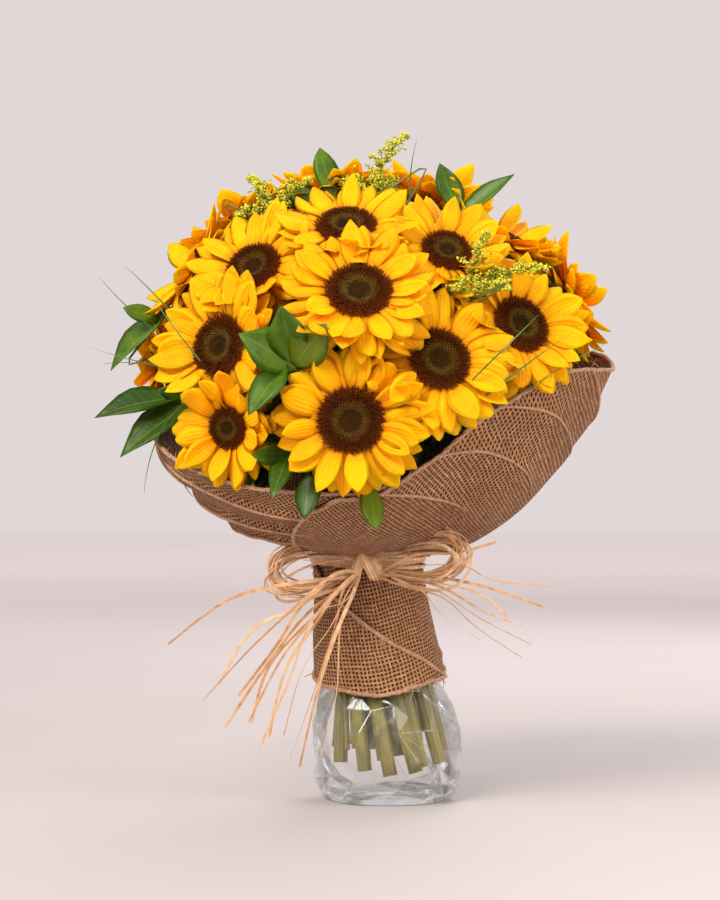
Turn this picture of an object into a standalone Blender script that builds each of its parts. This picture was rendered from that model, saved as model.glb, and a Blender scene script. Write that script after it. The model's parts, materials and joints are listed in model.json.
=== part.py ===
"""A hand-tied bunch of sunflowers: blooms on their own stems, leafy sprigs, goldenrod and bear grass,
wrapped in a burlap collar and skirt, tied with a raffia bow, standing on a water-filled cellophane bag.

Metres, +Z up. The origin is the middle of the flat face that the bag stands on, and -Y is the front.
Every stem passes through one tie: below it the stems fan out as a spiral, above it they open to a dome.
"""

import math
from collections import namedtuple

import bmesh
import bpy
import numpy as np
from mathutils import Matrix, Vector

# --- Driving dimensions -------------------------------------------------------------------------
GAP = 0.0003                                # air between two pieces that touch
TIE = Vector((-0.016, 0.0, 0.193))          # middle of the binding point
DOME = Vector((-0.018, 0.0, 0.335))         # the blooms' places are measured from here

STEM_RADIUS = 0.0055
BUNDLE_RADIUS = 0.0348                      # of all the stems in the tie
SPRIG_RADIUS = 0.0020
ROD_RADIUS = 0.0016
GRASS_RADIUS = 0.0011
STEM_CLEARANCE = 0.0010                     # least air between two stems
FOOT_LEVEL = 0.030                          # height at which the fan below the tie is measured
FOOT_SPREAD = 1.70                          # how much wider the stems stand there than in the tie
FOOT_TWIST = math.radians(38)               # the spiral of a hand-tied bunch

PETALS = 12                                 # broad petals that stand for the whorl
PETAL_THICKNESS = 0.0014
PETAL_AIR = 0.0016                          # room a whorl leaves to everything else

BAG_WALL = 0.0010
WATER_LEVEL = 0.106
BURLAP = 0.0022                             # thickness of a burlap layer
COLLAR_FOOT = 0.0437                        # radius of the collar where it leaves the tie
COLLAR_LEVEL = 0.1998                       # height of that edge

TIE_SLOT_STEPS = 400
SETTLE_STEPS = 90

# --- What the bunch is made of ------------------------------------------------------------------
# Angles are in degrees. A bearing turns from +X (right) over +Y (back), so -90 is the front; a climb
# is above the horizon. Each bloom has a place on the dome (bearing, climb, distance), the way that it
# faces, the radius of its seed disc, the length of its petals and how far these fold forward.
Bloom = namedtuple("Bloom", "bearing climb reach face_bearing face_climb disc petals cup foot")
BLOOMS = [
    Bloom(-94, -12, 0.163, -93, -2, 0.0250, 0.031, 12, 0.026),     # low front, nearest to the eye
    Bloom(-70, 4, 0.158, -72, 18, 0.0240, 0.033, 12, 0.030),
    Bloom(-92, 22, 0.163, -90, 36, 0.0250, 0.031, 16, 0.028),
    Bloom(-133, 8, 0.162, -126, 12, 0.0240, 0.033, 16, 0.027),
    Bloom(-132, 33, 0.152, -112, 34, 0.0215, 0.031, 14, 0.034),
    Bloom(-99, 50, 0.149, -92, 52, 0.0230, 0.030, 16, 0.036),
    Bloom(-41, 14, 0.160, -62, 24, 0.0230, 0.033, 14, 0.038),
    Bloom(-57, 40, 0.148, -76, 38, 0.0195, 0.030, 22, 0.046),
    Bloom(-8, 46, 0.154, -28, 66, 0.0200, 0.030, 20, 0.052),
    Bloom(-131, -14, 0.162, -118, -6, 0.0160, 0.026, 34, 0.024),   # small and half open
    Bloom(-178, 33, 0.163, -168, 30, 0.0185, 0.031, 18, 0.033),
    Bloom(171, 5, 0.166, 171, 4, 0.0170, 0.029, 20, 0.030),
    Bloom(159, 50, 0.160, 148, 52, 0.0200, 0.031, 18, 0.042),
    Bloom(150, 80, 0.153, 150, 80, 0.0210, 0.031, 18, 0.044),      # the crown
    Bloom(38, 64, 0.156, 40, 66, 0.0205, 0.031, 18, 0.050),
    Bloom(6, 22, 0.176, 4, 20, 0.0190, 0.031, 18, 0.048),
    Bloom(44, 30, 0.176, 44, 32, 0.0205, 0.032, 16, 0.046),
    Bloom(84, 20, 0.168, 86, 24, 0.0215, 0.032, 14, 0.040),
    Bloom(132, 20, 0.168, 132, 22, 0.0205, 0.032, 14, 0.040),
    Bloom(103, 52, 0.162, 103, 54, 0.0200, 0.031, 18, 0.038),
]

# A leafy sprig leaves the bunch at one place on the dome; its leaves then spread from its end.
# Each leaf is (how far back from the end, bearing, climb, length, width, droop, roll).
Sprig = namedtuple("Sprig", "bearing climb reach leaves foot")
SPRIGS = {
    "leafy_sprig_left_high": Sprig(-176, 20, 0.166, [
        (0.000, -176, -46, 0.056, 0.024, 8, 0),
        (0.014, -150, 28, 0.030, 0.013, 5, 0)], 0.041),
    "leafy_sprig_left_low": Sprig(-164, -5, 0.148, [
        (0.000, -168, -8, 0.064, 0.022, 10, 0),
        (0.010, -158, -34, 0.066, 0.024, 8, 20),
        (0.020, -150, 14, 0.040, 0.016, 8, 0)], 0.043),
    "leafy_sprig_centre": Sprig(-108, 1, 0.152, [
        (0.000, -150, 34, 0.052, 0.026, 10, 0),
        (0.006, -112, 62, 0.050, 0.022, 6, 30),
        (0.010, -46, 50, 0.036, 0.022, 8, 0),
        (0.018, -138, -42, 0.040, 0.020, 8, 0)], 0.047),
    "leafy_sprig_front": Sprig(-114, -21, 0.142, [
        (0.000, -112, -36, 0.046, 0.017, 12, 0),
        (0.012, -140, 6, 0.036, 0.015, 6, 0)], 0.050),
    "leafy_sprig_top": Sprig(-128, 73, 0.144, [
        (0.000, 170, 82, 0.046, 0.020, 6, 0),
        (0.008, -10, 66, 0.036, 0.018, 6, 0),
        (0.016, -160, 52, 0.046, 0.020, 8, 20)], 0.055),
    "leafy_sprig_right": Sprig(-8, 61, 0.150, [
        (0.000, 150, 74, 0.046, 0.025, 8, 60),
        (0.006, 2, 40, 0.058, 0.015, 4, 0)], 0.057),
    "leafy_sprig_back": Sprig(108, 12, 0.150, [
        (0.000, 104, 6, 0.050, 0.022, 10, 0),
        (0.008, 132, 34, 0.044, 0.020, 8, 0),
        (0.016, 100, -20, 0.040, 0.018, 8, 0)], 0.052),
}

# A goldenrod plume: place on the dome, then the way its plume arches, its length and its girth.
Rod = namedtuple("Rod", "bearing climb reach plume_bearing plume_climb length girth foot")
RODS = {
    "goldenrod_top": Rod(-80, 74, 0.146, 0, 66, 0.052, 0.0075, 0.060),
    "goldenrod_right": Rod(-56, 22, 0.150, -46, 52, 0.046, 0.0095, 0.058),
    "goldenrod_left": Rod(-150, 55, 0.146, 176, 58, 0.046, 0.0065, 0.060),
}
GRASS = {
    "bear_grass": [(-161, 20, 0.236, 0.000), (-160, 6, 0.234, 0.003), (-153, 2, 0.229, -0.003)],
}

# The collar's rim round the tie: (bearing, distance from the tie's axis, height)
COLLAR_RIM = [
    (-180, 0.172, 0.298), (-150, 0.168, 0.268), (-120, 0.150, 0.249), (-90, 0.136, 0.246),
    (-68, 0.138, 0.262), (-50, 0.152, 0.304), (-30, 0.178, 0.343), (0, 0.192, 0.352),
    (30, 0.190, 0.346), (60, 0.182, 0.336), (90, 0.180, 0.330), (120, 0.180, 0.324),
    (150, 0.176, 0.312),
]
COLLAR_CURVE = 2.4                          # 1 would be a cone, more is a rounder bowl

# The bag from its foot up: (height, distance from its axis)
BAG_OUTSIDE = [
    (0.0000, 0.0470), (0.0060, 0.0530), (0.0200, 0.0590), (0.0420, 0.0622), (0.0620, 0.0610),
    (0.0760, 0.0560), (0.0880, 0.0491), (0.1010, 0.0476), (0.1200, 0.0450), (0.1500, 0.0412),
    (0.1780, 0.0392),
]
SKIRT_OUTSIDE = [
    (0.0960, 0.0520), (0.1120, 0.0500), (0.1380, 0.0470), (0.1620, 0.0440), (0.1850, 0.0417),
    (0.1975, 0.0412)]
SKIRT_LEAN = 0.008                          # how far the hem dips at the front
FRONT = math.radians(-100)


# --- Small helpers ------------------------------------------------------------------------------
def heading(bearing, climb):
    """The unit vector that points at a bearing and a climb, in degrees."""
    b, c = math.radians(bearing), math.radians(climb)
    return Vector((math.cos(b) * math.cos(c), math.sin(b) * math.cos(c), math.sin(c)))


def mix(a, b, t):
    return a + (b - a) * t


def between(table, x):
    """The value at x of a table of (x, value) rows, joined by straight lines."""
    xs, values = zip(*table)
    return float(np.interp(x, xs, values))


def round_table(table, bearing):
    """The (distance, height) at a bearing of a rim table, going smoothly round the circle."""
    rows = sorted(table)
    rows = [(rows[-1][0] - 360, *rows[-1][1:]), *rows, (rows[0][0] + 360, *rows[0][1:])]
    bearing = (bearing + 180) % 360 - 180
    for low, high in zip(rows, rows[1:]):
        if low[0] <= bearing <= high[0]:
            t = (bearing - low[0]) / (high[0] - low[0])
            t = t * t * (3 - 2 * t)
            return mix(low[1], high[1], t), mix(low[2], high[2], t)
    return rows[1][1:]


def bezier(p0, p1, p2, p3, t):
    s = 1 - t
    return p0 * s**3 + p1 * (3 * s * s * t) + p2 * (3 * s * t * t) + p3 * t**3


def dense(points, radii, steps):
    """The points with their radii and steps - 1 more between each two, as a list of balls."""
    balls = [(Vector(points[0]), radii[0])]
    for a, b, ra, rb in zip(points, points[1:], radii, radii[1:]):
        balls += [(mix(Vector(a), Vector(b), i / steps), mix(ra, rb, i / steps))
                  for i in range(1, steps + 1)]
    return balls


# --- Materials ----------------------------------------------------------------------------------
def material(name, colour, roughness, alpha=1.0):
    made = bpy.data.materials.new(name)
    made.use_nodes = True
    shader = made.node_tree.nodes["Principled BSDF"]
    shader.inputs["Base Color"].default_value = (*colour, 1.0)
    shader.inputs["Roughness"].default_value = roughness
    shader.inputs["Alpha"].default_value = alpha
    made.diffuse_color = (*colour, alpha)
    return made


def clear_scene():
    for obj in list(bpy.data.objects):
        bpy.data.objects.remove(obj)


def collection(name, helper=False):
    made = bpy.data.collections.new(name)
    bpy.context.scene.collection.children.link(made)
    made.hide_render = helper
    return made


# --- Building blocks ----------------------------------------------------------------------------
def mesh_object(name, bm, group, finish, helper=False):
    mesh = bpy.data.meshes.new(name)
    bm.normal_update()
    bm.to_mesh(mesh)
    bm.free()
    mesh.shade_smooth()
    mesh.set_sharp_from_angle(angle=math.radians(50))
    made = bpy.data.objects.new(name, mesh)
    made.hide_render = helper
    if helper:
        made.display_type = "WIRE"
    if finish:
        mesh.materials.append(finish)
    group.objects.link(made)
    return made


def tube(name, points, radii, group, finish, resolution=2, closed=False):
    """A round tube through the points, with its own radius at each."""
    curve = bpy.data.curves.new(name, "CURVE")
    curve.dimensions = "3D"
    curve.bevel_depth = 1.0
    curve.bevel_resolution = resolution
    curve.use_fill_caps = True
    spline = curve.splines.new("POLY")
    spline.points.add(len(points) - 1)
    for point, place, radius in zip(spline.points, points, radii):
        point.co = (*place, 1.0)
        point.radius = radius
    spline.use_cyclic_u = closed
    spline.use_smooth = True
    if finish:
        curve.materials.append(finish)
    made = bpy.data.objects.new(name, curve)
    group.objects.link(made)
    return made


def tube_mesh(name, points, radii, group, finish, resolution=2):
    """The same tube as a mesh with welded caps, for a Boolean."""
    drawn = tube(name + "_line", points, radii, group, finish, resolution)
    bpy.context.view_layer.update()
    graph = bpy.context.evaluated_depsgraph_get()
    mesh = bpy.data.meshes.new_from_object(drawn.evaluated_get(graph))
    bm = bmesh.new()
    bm.from_mesh(mesh)
    bmesh.ops.remove_doubles(bm, verts=bm.verts, dist=1e-5)
    bpy.data.objects.remove(drawn)
    return mesh_object(name, bm, group, finish)


def loft(bm, rings, closed_ring=True):
    """Quads between rings of points, each ring as long as the next. Returns the rings of vertices."""
    made = [[bm.verts.new(p) for p in ring] for ring in rings]
    count = len(made[0])
    last = count if closed_ring else count - 1
    for low, high in zip(made, made[1:]):
        for i in range(last):
            j = (i + 1) % count
            bm.faces.new((low[i], low[j], high[j], high[i]))
    return made


def joined(target, tool, helpers, operation="UNION"):
    """Adds the tool to the target, or cuts it away, as a Boolean modifier."""
    helpers.objects.link(tool)
    for group in list(tool.users_collection):
        if group is not helpers:
            group.objects.unlink(tool)
    tool.hide_render = True
    tool.display_type = "WIRE"
    step = target.modifiers.new(tool.name, "BOOLEAN")
    step.operation = operation
    step.object = tool
    step.solver = "EXACT"


# --- How the stems run --------------------------------------------------------------------------
def tie_slots(places, radii):
    """Where each stem crosses the tie: as near its own bearing as the other stems leave room."""
    spots = np.array(places, float)
    radii = np.array(radii)
    reach = np.add.outer(radii, radii) + STEM_CLEARANCE
    np.fill_diagonal(reach, 0)
    wanted = spots.copy()
    for step in range(TIE_SLOT_STEPS):
        if step < TIE_SLOT_STEPS * 0.6:
            spots = spots * 0.992 + (wanted - spots) * 0.002
        for _ in range(3):
            apart = spots[:, None] - spots[None]
            far = np.linalg.norm(apart, axis=2) + 1e-9
            push = np.clip(reach - far, 0, None) / far * 0.5
            spots += (apart * push[:, :, None]).sum(axis=1) * 0.6
            out = np.linalg.norm(spots, axis=1)
            spots *= np.minimum(1, (BUNDLE_RADIUS - radii) / out)[:, None]
    return spots


def settle(lines, radii, knobs):
    """Moves the stems' points until no two stems touch. Both ends of a line stay where they are.

    knobs are the heads, as (centre, radius, its own stem's number), which the other stems go round."""
    fine = 6
    count, length = lines.shape[:2]
    at = np.linspace(0, length - 1, (length - 1) * fine + 1)
    weights = np.clip(1 - np.abs(at[:, None] - np.arange(length)[None]), 0, 1)
    free = np.ones(length)
    free[[0, -2, -1]] = 0
    for _ in range(SETTLE_STEPS):
        spots = np.einsum("pk,ikx->ipx", weights, lines)
        shift = np.zeros_like(spots)
        for i in range(count):
            for j in range(i + 1, count):
                apart = spots[i][:, None] - spots[j][None]
                far = np.linalg.norm(apart, axis=2) + 1e-9
                push = np.clip(radii[i] + radii[j] + 2 * STEM_CLEARANCE - far, 0, None)
                if not push.any():
                    continue
                move = apart * (push / far * 0.5)[:, :, None]
                shift[i] += move.sum(axis=1) / np.maximum((push > 0).sum(axis=1), 1)[:, None]
                shift[j] -= move.sum(axis=0) / np.maximum((push > 0).sum(axis=0), 1)[:, None]
            for centre, radius, owner in knobs:
                if owner == i:
                    continue
                apart = spots[i] - np.array(centre)
                far = np.linalg.norm(apart, axis=1) + 1e-9
                push = np.clip(radii[i] + radius + STEM_CLEARANCE - far, 0, None)
                shift[i] += apart * (push / far)[:, None]
        moved = np.einsum("pk,ipx->ikx", weights, shift) / weights.sum(axis=0)[None, :, None]
        lines = lines + 1.6 * moved * free[None, :, None]
    return lines


def stem_line(slot, end, way, steps=7):
    """A stem from its slot in the tie to its head, which it meets along the way that the head faces."""
    start = Vector((TIE.x + slot[0], TIE.y + slot[1], TIE.z))
    span = (end - start).length
    rise = Vector((slot[0] * 2.4, slot[1] * 2.4, 0.16)).normalized()
    return [bezier(start, start + rise * span * 0.36, end - way * span * 0.34, end, i / (steps - 1))
            for i in range(steps)]


def foot_of(slot, height):
    """Where the stem with this slot is, at a height below the tie."""
    t = (TIE.z - height) / (TIE.z - FOOT_LEVEL)
    c, s = math.cos(FOOT_TWIST) * FOOT_SPREAD, math.sin(FOOT_TWIST) * FOOT_SPREAD
    foot = Vector((c * slot[0] - s * slot[1], s * slot[0] + c * slot[1], FOOT_LEVEL))
    top = Vector((TIE.x + slot[0], TIE.y + slot[1], TIE.z))
    return mix(top, foot, t)


def bloom_place(bloom):
    return DOME + heading(bloom.bearing, bloom.climb) * bloom.reach


def bloom_face(bloom):
    return heading(bloom.face_bearing, bloom.face_climb)


# --- Blooms -------------------------------------------------------------------------------------
def head_profile(bloom):
    """(distance along the face, radius) of the green cup and the seed disc, from the neck forward."""
    r = bloom.disc
    return [(-0.026, STEM_RADIUS), (-0.018, STEM_RADIUS * 1.35), (-0.011, r * 0.62),
            (-0.004, r * 0.97), (0.0015, r), (0.0050, r * 0.86), (0.0072, r * 0.50)]


def build_stem(number, bloom, line, slot, group, finish):
    """The stem with its cup and seed disc, which grew as one piece."""
    centre, face = bloom_place(bloom), bloom_face(bloom)
    below = [foot_of(slot, bloom.foot)]
    profile = head_profile(bloom)
    above = [Vector(p) for p in line[:-1]]
    points = below + above + [centre + face * along for along, _ in profile]
    radii = [STEM_RADIUS] * (len(below) + len(above)) + [radius for _, radius in profile]
    return tube(f"sunflower_{number:02d}_stem", points, radii, group, finish)


def above_collar(point):
    """Whether a point lies clear of the collar: above its bowl, or outside its rim."""
    flat = Vector((point.x - TIE.x, point.y - TIE.y)).length
    bearing = math.degrees(math.atan2(point.y - TIE.y, point.x - TIE.x))
    distance, height = round_table(COLLAR_RIM, bearing)
    if flat > distance + 0.004:
        return True
    share = min(max((flat - COLLAR_FOOT) / (distance - COLLAR_FOOT), 0.0), 1.0)
    bowl = COLLAR_LEVEL + (height - COLLAR_LEVEL) * (0.12 * share + 0.88 * share**COLLAR_CURVE)
    return point.z > bowl + 0.0090


def petal_reach(roots, tips_at, full, planes, balls):
    """The longest reach, up to full, at which a petal crosses no plane, ball or collar."""
    reach = full
    while reach > 0.003:
        path = [mix(root, tip, t) for root, tip in zip(roots, tips_at(reach))
                for t in (0.2, 0.4, 0.6, 0.8, 1.0)]
        points = np.array(path)
        far = np.linalg.norm(points[:, None] - balls[None, :, :3], axis=2)
        clear = (far > balls[None, :, 3] + PETAL_AIR).all()
        clear = clear and (points @ planes[:, :3].T < planes[:, 3] - PETAL_AIR * 0.6).all()
        if clear and all(above_collar(p) for p in path):
            return reach
        reach -= 0.0006
    return 0.003


def build_petals(number, bloom, planes, balls, group, finish):
    """The whorl of petals: a thin, cupped star round the seed disc, short where a neighbour is near."""
    centre, face = bloom_place(bloom), bloom_face(bloom)
    frame = face.to_track_quat("Z", "Y").to_matrix()
    cup = math.radians(bloom.cup)
    steps = PETALS * 2
    inner = (bloom.disc + GAP) / math.cos(math.pi / steps) / math.cos(math.pi / 8) * 0.93
    rings = [[], [], [], []]
    for i in range(steps):
        angles = [2 * math.pi * (i + side) / steps for side in (0, -0.5, 0.5)]
        outs = [Vector((math.cos(angle), math.sin(angle), 0)) for angle in angles]
        out = outs[0]
        full = bloom.petals * (1.0 if i % 2 else 0.74)
        roots = [centre + frame @ (o * inner) for o in outs]

        def tips_at(length):
            lift = Vector((0, 0, length * math.sin(cup)))
            return [root + frame @ (o * length * math.cos(cup) + lift) for root, o in zip(roots, outs)]

        length = petal_reach(roots, tips_at, full, planes, balls)
        reach = inner + length * math.cos(cup)
        rise = length * math.sin(cup)
        low = Vector((0, 0, -0.0006))
        high = Vector((0, 0, PETAL_THICKNESS))
        rings[0].append(centre + frame @ (out * inner + low))
        rings[1].append(centre + frame @ (out * reach + Vector((0, 0, rise))))
        rings[2].append(centre + frame @ (out * reach + Vector((0, 0, rise)) + high * 0.7))
        rings[3].append(centre + frame @ (out * inner + low + high * 1.6))
    bm = bmesh.new()
    loft(bm, [*rings, rings[0]])
    bmesh.ops.remove_doubles(bm, verts=bm.verts, dist=1e-6)
    bmesh.ops.recalc_face_normals(bm, faces=bm.faces)
    return mesh_object(f"sunflower_{number:02d}_petals", bm, group, finish)


# --- Greenery -----------------------------------------------------------------------------------
def leaf_path(base, way, length, droop, steps=6):
    """The midrib of a leaf, bending down by droop degrees towards its tip."""
    side = way.cross(Vector((0, 0, 1))).normalized()
    points, place = [base.copy()], base.copy()
    for i in range(steps):
        turn = Matrix.Rotation(-math.radians(droop) * i / steps * 2, 3, side)
        place = place + (turn @ way) * (length / steps)
        points.append(place.copy())
    return points, side


def leaf_mesh(name, base, leaf, group):
    """A closed leaf blade: a flat lens with a raised midrib that starts inside the sprig's stem."""
    _, bearing, climb, length, width, droop, roll = leaf
    way = heading(bearing, climb)
    points, side = leaf_path(base, way, length, droop)
    side = Matrix.Rotation(math.radians(roll), 3, way) @ side
    shares = [0.10, 0.55, 0.95, 0.96, 0.72, 0.36, 0.03]
    rings = []
    for place, share in zip(points, shares):
        up = side.cross(way).normalized()
        half = width / 2 * share
        rings.append([place + side * half, place + up * 0.0008, place - side * half, place - up * 0.0008])
    bm = bmesh.new()
    made = loft(bm, rings)
    bm.faces.new(made[0])
    bm.faces.new(made[-1])
    bmesh.ops.recalc_face_normals(bm, faces=bm.faces)
    return mesh_object(name, bm, group, None, helper=True)


def build_sprig(name, sprig, line, slot, group, helpers, finish):
    points = [foot_of(slot, sprig.foot)] + [Vector(p) for p in line]
    stem = tube_mesh(name, points, [SPRIG_RADIUS] * len(points), group, finish)
    end, before = points[-1], points[-2]
    back = (before - end).normalized()
    for i, leaf in enumerate(sprig.leaves):
        tool = leaf_mesh(f"{name}_leaf_{i + 1}", end + back * (leaf[0] + 0.0015), leaf, group)
        joined(stem, tool, helpers)
    return stem


def leaf_balls(sprig, line):
    """Balls that hold each leaf of a sprig, so that the petals keep clear of them."""
    end, before = Vector(line[-1]), Vector(line[-2])
    back = (before - end).normalized()
    balls = []
    for leaf in sprig.leaves:
        way = heading(leaf[1], leaf[2])
        points, _ = leaf_path(end + back * (leaf[0] + 0.0015), way, leaf[3], leaf[5], steps=6)
        balls += dense(points, [leaf[4] * 0.5 * s for s in (0.25, 0.6, 0.95, 0.96, 0.8, 0.5, 0.2)], 3)
    return balls


def plume_points(rod, line):
    """The arching plume of a goldenrod and its girth along it."""
    end = Vector(line[-1])
    way = heading(rod.plume_bearing, rod.plume_climb)
    side = way.cross(Vector((0, 0, 1))).normalized()
    points, radii, place = [], [], end.copy()
    shares = [0.55, 0.95, 1.0, 0.8, 0.45, 0.15]
    for i, share in enumerate(shares):
        turn = Matrix.Rotation(-math.radians(14) * i, 3, side)
        place = place + (turn @ way) * (rod.length / len(shares))
        points.append(place.copy())
        radii.append(rod.girth * share)
    return points, radii


def build_rod(name, rod, line, slot, group, finish):
    plume, radii = plume_points(rod, line)
    points = [foot_of(slot, rod.foot)] + [Vector(p) for p in line] + plume
    radii = [ROD_RADIUS] * (len(points) - len(plume)) + radii
    return tube(name, points, radii, group, finish)


def blade_path(blade, base):
    """A blade of grass from the base, bowed up between its root and its tip."""
    bearing, climb, reach, bow = blade
    base = Vector(base)
    tip = DOME + heading(bearing, climb) * reach
    root = base - (tip - base).normalized() * 0.0005
    middle = mix(root, tip, 0.5) + Vector((0, 0, bow + 0.004))
    return [mix(mix(root, middle, t), mix(middle, tip, t), t) for t in (0, 0.25, 0.5, 0.75, 1)]


def build_grass(name, blades, line, slot, group, helpers, finish):
    points = [foot_of(slot, 0.062)] + [Vector(p) for p in line]
    stem = tube_mesh(name, points, [GRASS_RADIUS] * len(points), group, finish, resolution=0)
    for i, blade in enumerate(blades):
        path = blade_path(blade, line[-1])
        radii = [GRASS_RADIUS * 0.85, 0.0009, 0.0008, 0.0007, 0.0005]
        made = tube_mesh(f"{name}_blade_{i + 1}", path, radii, group, None, resolution=0)
        joined(stem, made, helpers)
    return stem


# --- Wraps and bag ------------------------------------------------------------------------------
def collar_point(bearing, t, inset=0.0):
    """A point of the collar's outer face: t is 0 at the tie and 1 at the rim."""
    distance, height = round_table(COLLAR_RIM, bearing)
    radius = mix(COLLAR_FOOT, distance, t)
    share = (radius - COLLAR_FOOT) / (distance - COLLAR_FOOT)
    rise = (height - COLLAR_LEVEL) * (0.12 * share + 0.88 * share**COLLAR_CURVE)
    fold = 0.0022 * math.sin(math.radians(bearing) * 9 + 1.5 * t) * t
    b = math.radians(bearing)
    radius = radius - inset * 0.35
    return Vector((TIE.x + radius * math.cos(b), TIE.y + radius * math.sin(b),
                   COLLAR_LEVEL + rise + fold + inset))


def build_collar(group, finish, around=44):
    """The upper wrap: one bowl of burlap, open at the tie, with its rim low in front."""
    rows = [0.0, 0.22, 0.44, 0.64, 0.82, 1.0]
    bearings = [360 * i / around for i in range(around)]
    outer = [[collar_point(b, t) for b in bearings] for t in rows]
    inner = [[collar_point(b, t, BURLAP) for b in bearings] for t in rows]
    bm = bmesh.new()
    loft(bm, outer + inner[::-1] + [outer[0]])
    bmesh.ops.remove_doubles(bm, verts=bm.verts, dist=1e-6)
    bmesh.ops.recalc_face_normals(bm, faces=bm.faces)
    return mesh_object("burlap_collar", bm, group, finish)


def axis_at(height):
    """The middle of the stems at a height: the tie stands a little left of the bag."""
    t = min(max((height - FOOT_LEVEL) / (TIE.z - FOOT_LEVEL), 0.0), 1.0)
    return Vector((TIE.x * t, TIE.y * t, height))


def turned_shell(name, outside, wall, sides, group, finish, floor=None, lean=0.0):
    """A leaning shell of revolution, open at its top, with a floor of its own if one is given."""
    def ring(height, radius, tilt=0.0):
        middle = axis_at(height)
        return [middle + Vector((radius * math.cos(a), radius * math.sin(a), -tilt * math.cos(a - FRONT)))
                for a in (2 * math.pi * i / sides for i in range(sides))]

    heights = [h for h, _ in outside]
    tilts = [lean * (1 - (h - heights[0]) / (heights[-1] - heights[0])) for h in heights]
    outer = [ring(h, r, tilt) for (h, r), tilt in zip(outside, tilts)]
    if floor is None:
        inner = [ring(h, r - wall, tilt) for (h, r), tilt in zip(outside, tilts)]
    else:
        start = [row for row in outside if row[0] > floor]
        inner = [ring(floor, between(outside, floor) - wall)] + [ring(h, r - wall) for h, r in start]
    bm = bmesh.new()
    made = loft(bm, outer + inner[::-1] + ([outer[0]] if floor is None else []))
    if floor is not None:
        bm.faces.new(made[0])
        bm.faces.new(made[-1])
    bmesh.ops.remove_doubles(bm, verts=bm.verts, dist=1e-6)
    bmesh.ops.recalc_face_normals(bm, faces=bm.faces)
    return mesh_object(name, bm, group, finish)


def build_water(stems, group, helpers, finish, sides=24):
    """The water in the bag, up to its level, with a hole round each stem."""
    floor = BAG_WALL + GAP
    rows = [(floor, between(BAG_OUTSIDE, floor))]
    rows += [row for row in BAG_OUTSIDE if floor < row[0] < WATER_LEVEL]
    rows += [(WATER_LEVEL, between(BAG_OUTSIDE, WATER_LEVEL))]
    bm = bmesh.new()
    rings = []
    for height, radius in rows:
        middle = axis_at(height)
        r = radius - BAG_WALL - 0.0009
        rings.append([middle + Vector((r * math.cos(a), r * math.sin(a), 0))
                      for a in (2 * math.pi * i / sides for i in range(sides))])
    made = loft(bm, rings)
    bm.faces.new(made[0])
    bm.faces.new(made[-1])
    bmesh.ops.recalc_face_normals(bm, faces=bm.faces)
    water = mesh_object("bag_water", bm, group, finish)
    for i, (slot, end, radius) in enumerate(stems):
        low, high = foot_of(slot, end), foot_of(slot, WATER_LEVEL + 0.02)
        low = low + (low - high).normalized() * 2 * GAP
        wide = radius * (1.20 if radius == STEM_RADIUS else 1.48)
        cut = tube_mesh(f"water_cut_{i + 1}", [low, high], [wide] * 2, group, None,
                        resolution=0 if radius < STEM_RADIUS else 1)
        joined(water, cut, helpers, "DIFFERENCE")
    return water


# --- Raffia -------------------------------------------------------------------------------------
KNOT = Vector((-0.0165, -0.0509, 0.1900))
KNOT_HALF = (0.0115, 0.0050, 0.0095)
BAND_RADIUS = 0.0427                        # inside
BAND_THICKNESS = 0.0028
LOOP_RADIUS = 0.0030


def build_band(group, finish, sides=28):
    """The raffia wound round the tie."""
    rings = []
    for turn in range(sides):
        a = 2 * math.pi * turn / sides
        out = Vector((math.cos(a), math.sin(a), 0))
        rings.append([TIE + out * (BAND_RADIUS + d) + Vector((0, 0, z)) for d, z in
                      ((0, -0.0065), (BAND_THICKNESS, -0.0045), (BAND_THICKNESS, 0.0045), (0, 0.0065))])
    bm = bmesh.new()
    loft(bm, [*rings, rings[0]])
    bmesh.ops.remove_doubles(bm, verts=bm.verts, dist=1e-6)
    bmesh.ops.recalc_face_normals(bm, faces=bm.faces)
    return mesh_object("raffia_band", bm, group, finish)


def loop_points(side, steps=14):
    """The middle of a bow loop: out from the knot, round and back in."""
    points = []
    reach, drop = (0.082, -0.014) if side < 0 else (0.078, -0.003)
    for i in range(steps + 1):
        t = i / steps
        a = math.pi * 2 * t
        out = (1 - math.cos(a)) / 2
        swing = math.sin(a) * 0.0155 * math.sin(math.pi * t) ** 0.5
        points.append(KNOT + Vector((side * (0.0150 + reach * out), -0.004 - 0.012 * out,
                                     drop * out + swing + 0.002 * math.cos(a) * (1 - out))))
    return points


def build_bow(group, helpers, finish):
    """The knot, a flattened ball in front of the band, and a loop that comes out of each side of it."""
    bm = bmesh.new()
    bmesh.ops.create_uvsphere(bm, u_segments=12, v_segments=8, radius=1.0)
    size = Matrix.Diagonal((*KNOT_HALF, 1.0))
    bmesh.ops.transform(bm, matrix=Matrix.Translation(KNOT) @ size, verts=bm.verts)
    bow = mesh_object("raffia_bow", bm, group, finish)
    for side, name in ((-1, "left"), (1, "right")):
        points = loop_points(side)
        ends = (KNOT + Vector((side * 0.004, 0, 0.003)), KNOT + Vector((side * 0.004, 0, -0.003)))
        loop = tube_mesh(f"raffia_loop_{name}", [ends[0], *points[1:-1], ends[1]],
                         [LOOP_RADIUS] * len(points), group, None, resolution=1)
        joined(bow, loop, helpers)
    return bow


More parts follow.
